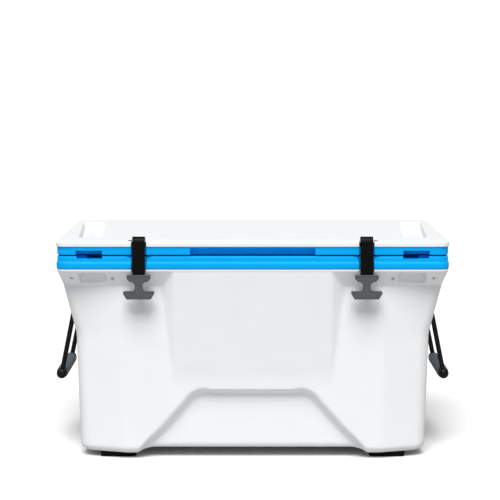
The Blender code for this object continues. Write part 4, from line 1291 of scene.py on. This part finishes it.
# ---- latches ------------------------------------------------------------------------------------
@dataclass
class Latch:
    """A rubber strap that hangs from its pin and a grey pull on its end."""

    side: int
    label: str
    middle: float = 0.2257
    width: float = 0.025
    pin_y: float = -0.208
    pin_z: float = 0.4445
    pin_radius: float = 0.0025
    knuckle: float = 0.0105
    strap_front: float = -0.2195
    strap_back: float = -0.2130
    tee_top: float = 0.3796
    tee_low: float = 0.3316
    tee_front: float = -0.2260
    tee_back: float = -0.2158
    web_depth: float = 0.0007

    def plate(self, outline: Sequence[tuple[float, float, float]], along: Vector) -> bmesh.types.BMesh:
        """A flat outline drawn out into a plate."""
        bm = bmesh.new()
        face = bm.faces.new([bm.verts.new(point) for point in outline])
        made = bmesh.ops.extrude_face_region(bm, geom=[face])["geom"]
        bmesh.ops.translate(bm, vec=along, verts=[v for v in made if isinstance(v, bmesh.types.BMVert)])
        bmesh.ops.recalc_face_normals(bm, faces=bm.faces)
        return bm

    def strap(self) -> bpy.types.Object:
        """Make the strap with the knuckle that wraps its pin."""
        start = self.side * self.middle - self.width / 2
        level = self.tee_top + 0.3 * MM
        points = [(start, self.strap_back, level), (start, self.strap_front, level),
                  (start, self.strap_front, self.pin_z - 11.5 * MM)]
        for angle in range(196, -96, -8):
            turn = math.radians(angle)
            reach = self.knuckle if angle < 180 else self.knuckle + 0.4 * MM
            points.append((start, self.pin_y + reach * math.cos(turn), self.pin_z + reach * math.sin(turn)))
        points.append((start, self.strap_back, self.pin_z - self.knuckle + 0.6 * MM))
        bm = self.plate(points, Vector((self.width, 0, 0)))
        bm.normal_update()
        rims = [e for e in bm.edges if abs(e.verts[0].co.x - e.verts[1].co.x) < 1e-7]
        bmesh.ops.bevel(bm, geom=rims, offset=0.9 * MM, segments=3, affect="EDGES", profile=0.5, material=-1,
                        clamp_overlap=True)
        # A thin flash line of the mould runs across the strap under the knuckle.
        crease = rounded_block((self.width - 1.6 * MM, 1.2 * MM, 1.5 * MM),
                               (self.side * self.middle, self.strap_front + 0.1 * MM, self.pin_z - 9.5 * MM),
                               0.5 * MM, upright=Axis.X, steps=3)
        return place_piece(joined(bm, crease), f"latch_strap_{self.label}", Slot.RUBBER,
                           f"latch_{self.label}", [f"latch_{self.label}_strap"])

    def build(self) -> None:
        """Make the strap, the pull and the pin."""
        self.strap()
        self.pull()
        half, radius, edge = self.width / 2 + 1.4 * MM, self.pin_radius, 0.3 * MM
        pin = turned(((0, -half), (radius - edge, -half), (radius, edge - half), (radius, half - edge),
                      (radius - edge, half), (0, half)),
                     facing((self.side * self.middle, self.pin_y, self.pin_z), (1, 0, 0)))
        place_piece(pin, f"latch_pin_{self.label}", Slot.STEEL, "lid", [f"latch_{self.label}_pin"])

    @staticmethod
    def hollow(x: float, z: float, radius: float, start: int, end: int) -> list[tuple[float, float]]:
        """Points of the hollow beside the neck.

        Args:
            x: middle of the hollow.
            z: its level.
            radius: its radius.
            start: first angle in degrees.
            end: last angle.

        Returns:
            Points from the first angle to the last.
        """
        return [(x + radius * math.cos(math.radians(angle)), z + radius * math.sin(math.radians(angle)))
                for angle in range(start, end + 1, 12)]

    def tee_outline(self) -> list[tuple[float, float]]:
        """Half outline of the pull, from its top middle down."""
        points = [(0.0225, self.tee_top), (0.0233, self.tee_top - 1 * MM), (0.0233, 0.3730), (0.0195, 0.3685)]
        points += self.hollow(0.0165, 0.3578, 0.0090, 84, 180) + self.hollow(0.0137, 0.3538, 0.0062, 180, 264)
        return points + [(0.0295, 0.3473), (0.0306, 0.3464), (0.0306, 0.3425), (0.0240, self.tee_low)]

    def pull(self) -> bpy.types.Object:
        """Make the pull: a T-shaped plate with a raised rim round a sunk web."""
        centre_x = self.side * self.middle
        bm = self.shield(self.tee_outline(), self.tee_back, self.tee_front - self.tee_back)
        bm.normal_update()
        rims = [edge for face in bm.faces if face.normal.y < -0.9 for edge in face.edges]
        bmesh.ops.bevel(bm, geom=rims, offset=0.7 * MM, segments=3, affect="EDGES", profile=0.5, material=-1,
                        clamp_overlap=True)
        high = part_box(f"latch_{self.label}_pull")[1]
        nub = rounded_block((0.020, high.y - self.tee_back + 1 * MM, 0.009),
                            (centre_x, (high.y + self.tee_back - 1 * MM) / 2, 0.3735), 2 * MM, upright=Axis.Y,
                            edge=0.6 * MM, steps=4)
        pull = place_piece(joined(bm, nub), f"latch_pull_{self.label}", Slot.PULL, f"tee_{self.label}",
                           [f"latch_{self.label}_pull"])
        sunk = self.shield(self.web_outline(), self.tee_front + self.web_depth, -3 * MM)
        cut_away(pull, [sunk])
        return pull

    def shield(self, half: Sequence[tuple[float, float]], start: float, reach: float) -> bmesh.types.BMesh:
        """A plate over a half outline and its mirror image.

        Args:
            half: half outline, from its top middle down.
            start: Y of one face.
            reach: distance along Y to the other face.

        Returns:
            The plate.
        """
        centre_x = self.side * self.middle
        loop = ([(centre_x + x, start, z) for x, z in half]
                + [(centre_x - x, start, z) for x, z in reversed(half)])
        return self.plate(loop, Vector((0, reach, 0)))

    def web_outline(self) -> list[tuple[float, float]]:
        """Half outline of the sunk web inside the pull's raised rim."""
        points = [(0.0208, self.tee_top - 1.6 * MM), (0.0216, self.tee_top - 2.4 * MM), (0.0216, 0.3737),
                  (0.0186, 0.3701)]
        points += self.hollow(0.0165, 0.3578, 0.0106, 84, 180) + self.hollow(0.0137, 0.3538, 0.0078, 180, 264)
        return points + [(0.0284, 0.3458), (0.0290, 0.3452), (0.0290, 0.3430),
                         (0.0231, self.tee_low + 1.6 * MM)]


# ---- handles and small parts --------------------------------------------------------------------
@dataclass
class Handle:
    """A bail handle: two bent arms, a grip over a tie rod, and a domed cap on each end."""

    side: int
    label: str
    pivot_x: float = 0.361
    pivot_z: float = 0.325
    pivot_y: float = 0.1135
    bend_y: float = 0.098
    bend: float = 0.008
    grip_x: float = 0.396
    grip_z: float = 0.157
    arm_y: float = 0.090
    arm_radius: float = 0.0050
    boss_radius: float = 0.0105
    boss_dome: float = 0.0120
    grip_radius: float = 0.0120
    grip_half: float = 0.0792
    rod_radius: float = 0.0040

    def arm(self, end: int) -> bmesh.types.BMesh:
        """One arm: a round bar that turns through a bend and ends in a boss."""
        start = Vector((self.side * self.pivot_x, end * self.pivot_y, self.pivot_z))
        elbow = Vector((self.side * self.pivot_x, end * self.bend_y, self.pivot_z))
        foot = Vector((self.side * self.grip_x, end * self.arm_y, self.grip_z))
        into, down = (elbow - start).normalized(), (foot - elbow).normalized()
        axis = into.cross(down).normalized()
        angle = into.angle(down)
        back = self.bend * math.tan(angle / 2)
        straight = (elbow - start).length - back
        bm = bmesh.new()
        ring = bmesh.ops.create_circle(bm, cap_ends=True, radius=self.arm_radius, segments=20,
                                       matrix=facing(start, into))["verts"]
        faces = list(bm.faces)
        if straight > 0:
            made = bmesh.ops.extrude_face_region(bm, geom=faces)["geom"]
            ring = [v for v in made if isinstance(v, bmesh.types.BMVert)]
            bmesh.ops.translate(bm, vec=into * straight, verts=ring)
            faces = [f for f in made if isinstance(f, bmesh.types.BMFace)]
        centre = elbow - into * back + axis.cross(into) * self.bend
        made = bmesh.ops.spin(bm, geom=faces, cent=centre, axis=axis, angle=angle, steps=12,
                              use_duplicate=False)["geom_last"]
        faces = [f for f in made if isinstance(f, bmesh.types.BMFace)]
        made = bmesh.ops.extrude_face_region(bm, geom=faces)["geom"]
        ring = [v for v in made if isinstance(v, bmesh.types.BMVert)]
        bmesh.ops.translate(bm, vec=down * ((foot - elbow).length - back), verts=ring)
        bmesh.ops.recalc_face_normals(bm, faces=bm.faces)
        return bm

    def boss(self, end: int) -> bmesh.types.BMesh:
        """The domed cap at the foot of an arm."""
        inner = -(self.arm_y - self.grip_half - 0.5 * MM)
        profile = [(self.rod_radius, inner), (self.boss_radius - 0.6 * MM, inner),
                   (self.boss_radius, inner + 0.6 * MM), (self.boss_radius, 4.5 * MM)]
        for step in range(1, 9):
            turn = math.radians(90 * step / 8)
            profile.append((self.boss_radius * math.cos(turn),
                            4.5 * MM + (self.boss_dome - 4.5 * MM) * math.sin(turn)))
        profile[-1] = (0.0, self.boss_dome)
        profile.insert(0, (0.0, inner))
        return turned(profile,
                      facing((self.side * self.grip_x, end * self.arm_y, self.grip_z), (0, end, 0)), 32)

    def grip(self) -> bmesh.types.BMesh:
        """The grip: a rubber sleeve with shallow rings and rounded ends."""
        half, radius = self.grip_half, self.grip_radius
        profile = [(self.rod_radius + 0.2 * MM, -half), (radius - 1.6 * MM, -half),
                   (radius - 0.5 * MM, -half + 0.5 * MM),
                   (radius, -half + 1.6 * MM)]
        place = -half + 14 * MM
        while place < half - 14 * MM:
            profile += [(radius, place), (radius - 0.6 * MM, place + 0.7 * MM),
                        (radius - 0.6 * MM, place + 1.7 * MM),
                        (radius, place + 2.4 * MM)]
            place += 9.1 * MM
        profile += [(radius, half - 1.6 * MM), (radius - 0.5 * MM, half - 0.5 * MM),
                    (radius - 1.6 * MM, half),
                    (self.rod_radius + 0.2 * MM, half)]
        return turned(profile, facing((self.side * self.grip_x, 0, self.grip_z), (0, 1, 0)), 40)

    def build(self) -> None:
        """Make the arms with their domed caps, and the grip."""
        body = f"handle_{self.label}"
        for end, place in ENDS:
            place_piece(joined(self.arm(end), self.boss(end)), f"handle_arm_{self.label}_{place}",
                        Slot.BLACK_METAL,
                        body, [f"handle_{self.label}_arm_{place}"])
        place_piece(self.grip(), f"handle_grip_{self.label}", Slot.GRIP, body, [f"handle_{self.label}_grip"])


@dataclass
class Bracket:
    """A moulded saddle that holds a handle pivot against the back of its recess."""

    side: int
    label: str
    place: str

    def build(self) -> None:
        """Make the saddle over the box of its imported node."""
        low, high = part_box(f"handle_{self.label}_bracket_{self.place}")
        size = [b - a for a, b in zip(low, high)]
        centre = [(a + b) / 2 for a, b in zip(low, high)]
        plate = 5.0 * MM
        inner = low.x if self.side > 0 else high.x
        base = rounded_block((plate, size[1], size[2]), (inner + self.side * plate / 2, centre[1], centre[2]),
                             3 * MM, upright=Axis.X, edge=0.8 * MM)
        hub = turned(((0, -size[1] / 2), (8.2 * MM, -size[1] / 2), (9.2 * MM, -size[1] / 2 + 1 * MM),
                      (9.2 * MM, size[1] / 2 - 1 * MM), (8.2 * MM, size[1] / 2), (0, size[1] / 2)),
                     facing((self.side * 0.361, centre[1], 0.325), (0, 1, 0)), 36)
        place_piece(joined(base, hub), f"handle_bracket_{self.label}_{self.place}", Slot.DARK_PLASTIC,
                    "chest", [f"handle_{self.label}_bracket_{self.place}"])


@dataclass
class Screws:
    """Pan-head screws with a cross recess."""

    segments: int = 28

    def head(self, radius: float, height: float) -> list[tuple[float, float]]:
        """Profile of a pan head, from its seat to its top."""
        return [(0.0, 0.0), (radius, 0.0), (radius, height * 0.35), (radius * 0.93, height * 0.7),
                (radius * 0.75, height * 0.92), (radius * 0.45, height), (0.0, height)]

    def screw(self, node: str, seat: Vector, out: Vector, radius: float, height: float) -> bpy.types.Object:
        """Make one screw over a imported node.

        Args:
            node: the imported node.
            seat: middle of the face that the head sits on.
            out: direction that the head faces.
            radius: radius of the head.
            height: height of the head.

        Returns:
            The screw.
        """
        place = facing(seat, out)
        shank = turned(((0, -0.010), (radius * 0.40, -0.010), (radius * 0.45, 0.2 * MM), (0, 0.2 * MM)),
                       place, 16)
        made = place_piece(joined(turned(self.head(radius, height), place, self.segments), shank),
                           node + "_head",
                           Slot.STEEL, "chest", [node])
        blades = []
        for turn in (0, 90):
            blade = rounded_block((radius * 1.15, radius * 0.24, height * 1.4), (0, 0, height), 0.1 * MM)
            bmesh.ops.rotate(blade, cent=(0, 0, 0), matrix=Matrix.Rotation(math.radians(turn + 20), 3, "Z"),
                             verts=blade.verts)
            bmesh.ops.transform(blade, matrix=place, verts=blade.verts)
            blades.append(blade)
        for blade in blades:
            cut_away(made, [blade])
        return made

    def build(self) -> None:
        """Make the screws that hold the handle brackets."""
        for side, label in SIDES:
            for _, place in ENDS:
                for level in ("high", "low"):
                    node = f"handle_{label}_{place}_screw_{level}"
                    low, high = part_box(node)
                    outer = high.x if side > 0 else low.x
                    seat = Vector((outer - side * 2.2 * MM, (low.y + high.y) / 2, (low.z + high.z) / 2))
                    self.screw(node, seat, Vector((side, 0, 0)), (high.z - low.z) / 2, 2.2 * MM)


@dataclass
class Foot:
    """A rubber foot: a rounded pad with a softened sole and a sunk middle for its screw."""

    corner: float = 0.0075
    sole: float = 0.0018

    def build(self, node: str) -> bpy.types.Object:
        """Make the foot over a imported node."""
        low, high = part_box(node)
        size = [b - a for a, b in zip(low, high)]
        centre = [(a + b) / 2 for a, b in zip(low, high)]
        bm = rounded_block(size, centre, self.corner, edge=self.sole)
        made = place_piece(bm, node + "_pad", Slot.RUBBER, "chest", [node])
        well = turned(((0, -0.001), (6.5 * MM, -0.001), (5.8 * MM, 0.0040), (0, 0.0040)),
                      facing((centre[0], centre[1], 0), (0, 0, 1)))
        cut_away(made, [well])
        return made


# ---- stage --------------------------------------------------------------------------------------
@dataclass
class Studio:
    """Floor, lights and camera."""

    distance: float = 3.081
    height: float = 0.7948
    pitch_deg: float = 6.77
    turn: float = 0.0005
    across: float = -0.0038
    front_y: float = -0.215
    lens: float = 113.0
    backdrop: float = 1.05
    ambient: float = 0.25
    key: float = 3.5
    fill: float = 0.04

    def build(self) -> None:
        """Set the stage."""
        scene = bpy.context.scene
        scene.view_settings.view_transform = "Standard"
        bm = bmesh.new()
        bmesh.ops.create_grid(bm, x_segments=1, y_segments=1, size=30.0)
        mesh = bpy.data.meshes.new("floor")
        bm.to_mesh(mesh)
        bm.free()
        floor = bpy.data.objects.new("floor", mesh)
        scene.collection.objects.link(floor)
        mesh.materials.append(StudioFloor().build())
        world = bpy.data.worlds.new("studio")
        world.use_nodes = True
        tree = world.node_tree
        lit = tree.nodes["Background"]
        lit.inputs["Color"].default_value = (1, 1, 1, 1)
        lit.inputs["Strength"].default_value = self.ambient
        seen = add_node(tree, "ShaderNodeBackground", {"Color": (1, 1, 1, 1), "Strength": self.backdrop})
        path = add_node(tree, "ShaderNodeLightPath")
        both = add_node(tree, "ShaderNodeMixShader", {0: path.outputs["Is Camera Ray"],
                                                      1: lit.outputs[0], 2: seen.outputs[0]})
        tree.links.new(both.outputs[0], tree.nodes["World Output"].inputs["Surface"])
        scene.world = world
        for name, place, softness, power in (("key bank", (-0.06, -0.66, 1.10), 36, self.key),
                                             ("fill bank", (0.9, -1.0, 0.55), 60, self.fill)):
            light = bpy.data.lights.new(name, "SUN")
            light.angle = math.radians(softness)
            light.energy = power
            lamp = bpy.data.objects.new(name, light)
            scene.collection.objects.link(lamp)
            lamp.location = place
            lamp.rotation_euler = (-Vector(place)).to_track_quat("-Z", "Y").to_euler()
        camera = bpy.data.cameras.new("camera")
        camera.lens = self.lens
        viewer = bpy.data.objects.new("camera", camera)
        scene.collection.objects.link(viewer)
        viewer.location = (self.across, self.front_y - self.distance, self.height)
        viewer.rotation_euler = (math.radians(90 - self.pitch_deg), 0, self.turn)
        scene.camera = viewer


def main() -> None:
    """Build every piece of the chest and the stage around it."""
    logging.basicConfig(level=logging.INFO)
    BodyShell().build()
    Rim().build()
    LidBase().build()
    LidTop().build()
    Tub().build()
    for side, label in SIDES:
        Latch(side, label).build()
        Handle(side, label).build()
        for _, place in ENDS:
            Bracket(side, label, place).build()
            Foot().build(f"foot_{label}_{place}")
    Screws().build()
    slots = {part["node"]: part["material_slot"] for part in frame["record"]["subparts"]}
    for name, node in frame["nodes"].items():
        if not node.hide_render:
            node.material_slots[0].link = "OBJECT"
            node.material_slots[0].material = material_of(Slot(slots[name]))
    Studio().build()


if __name__ == "__main__":
    main()
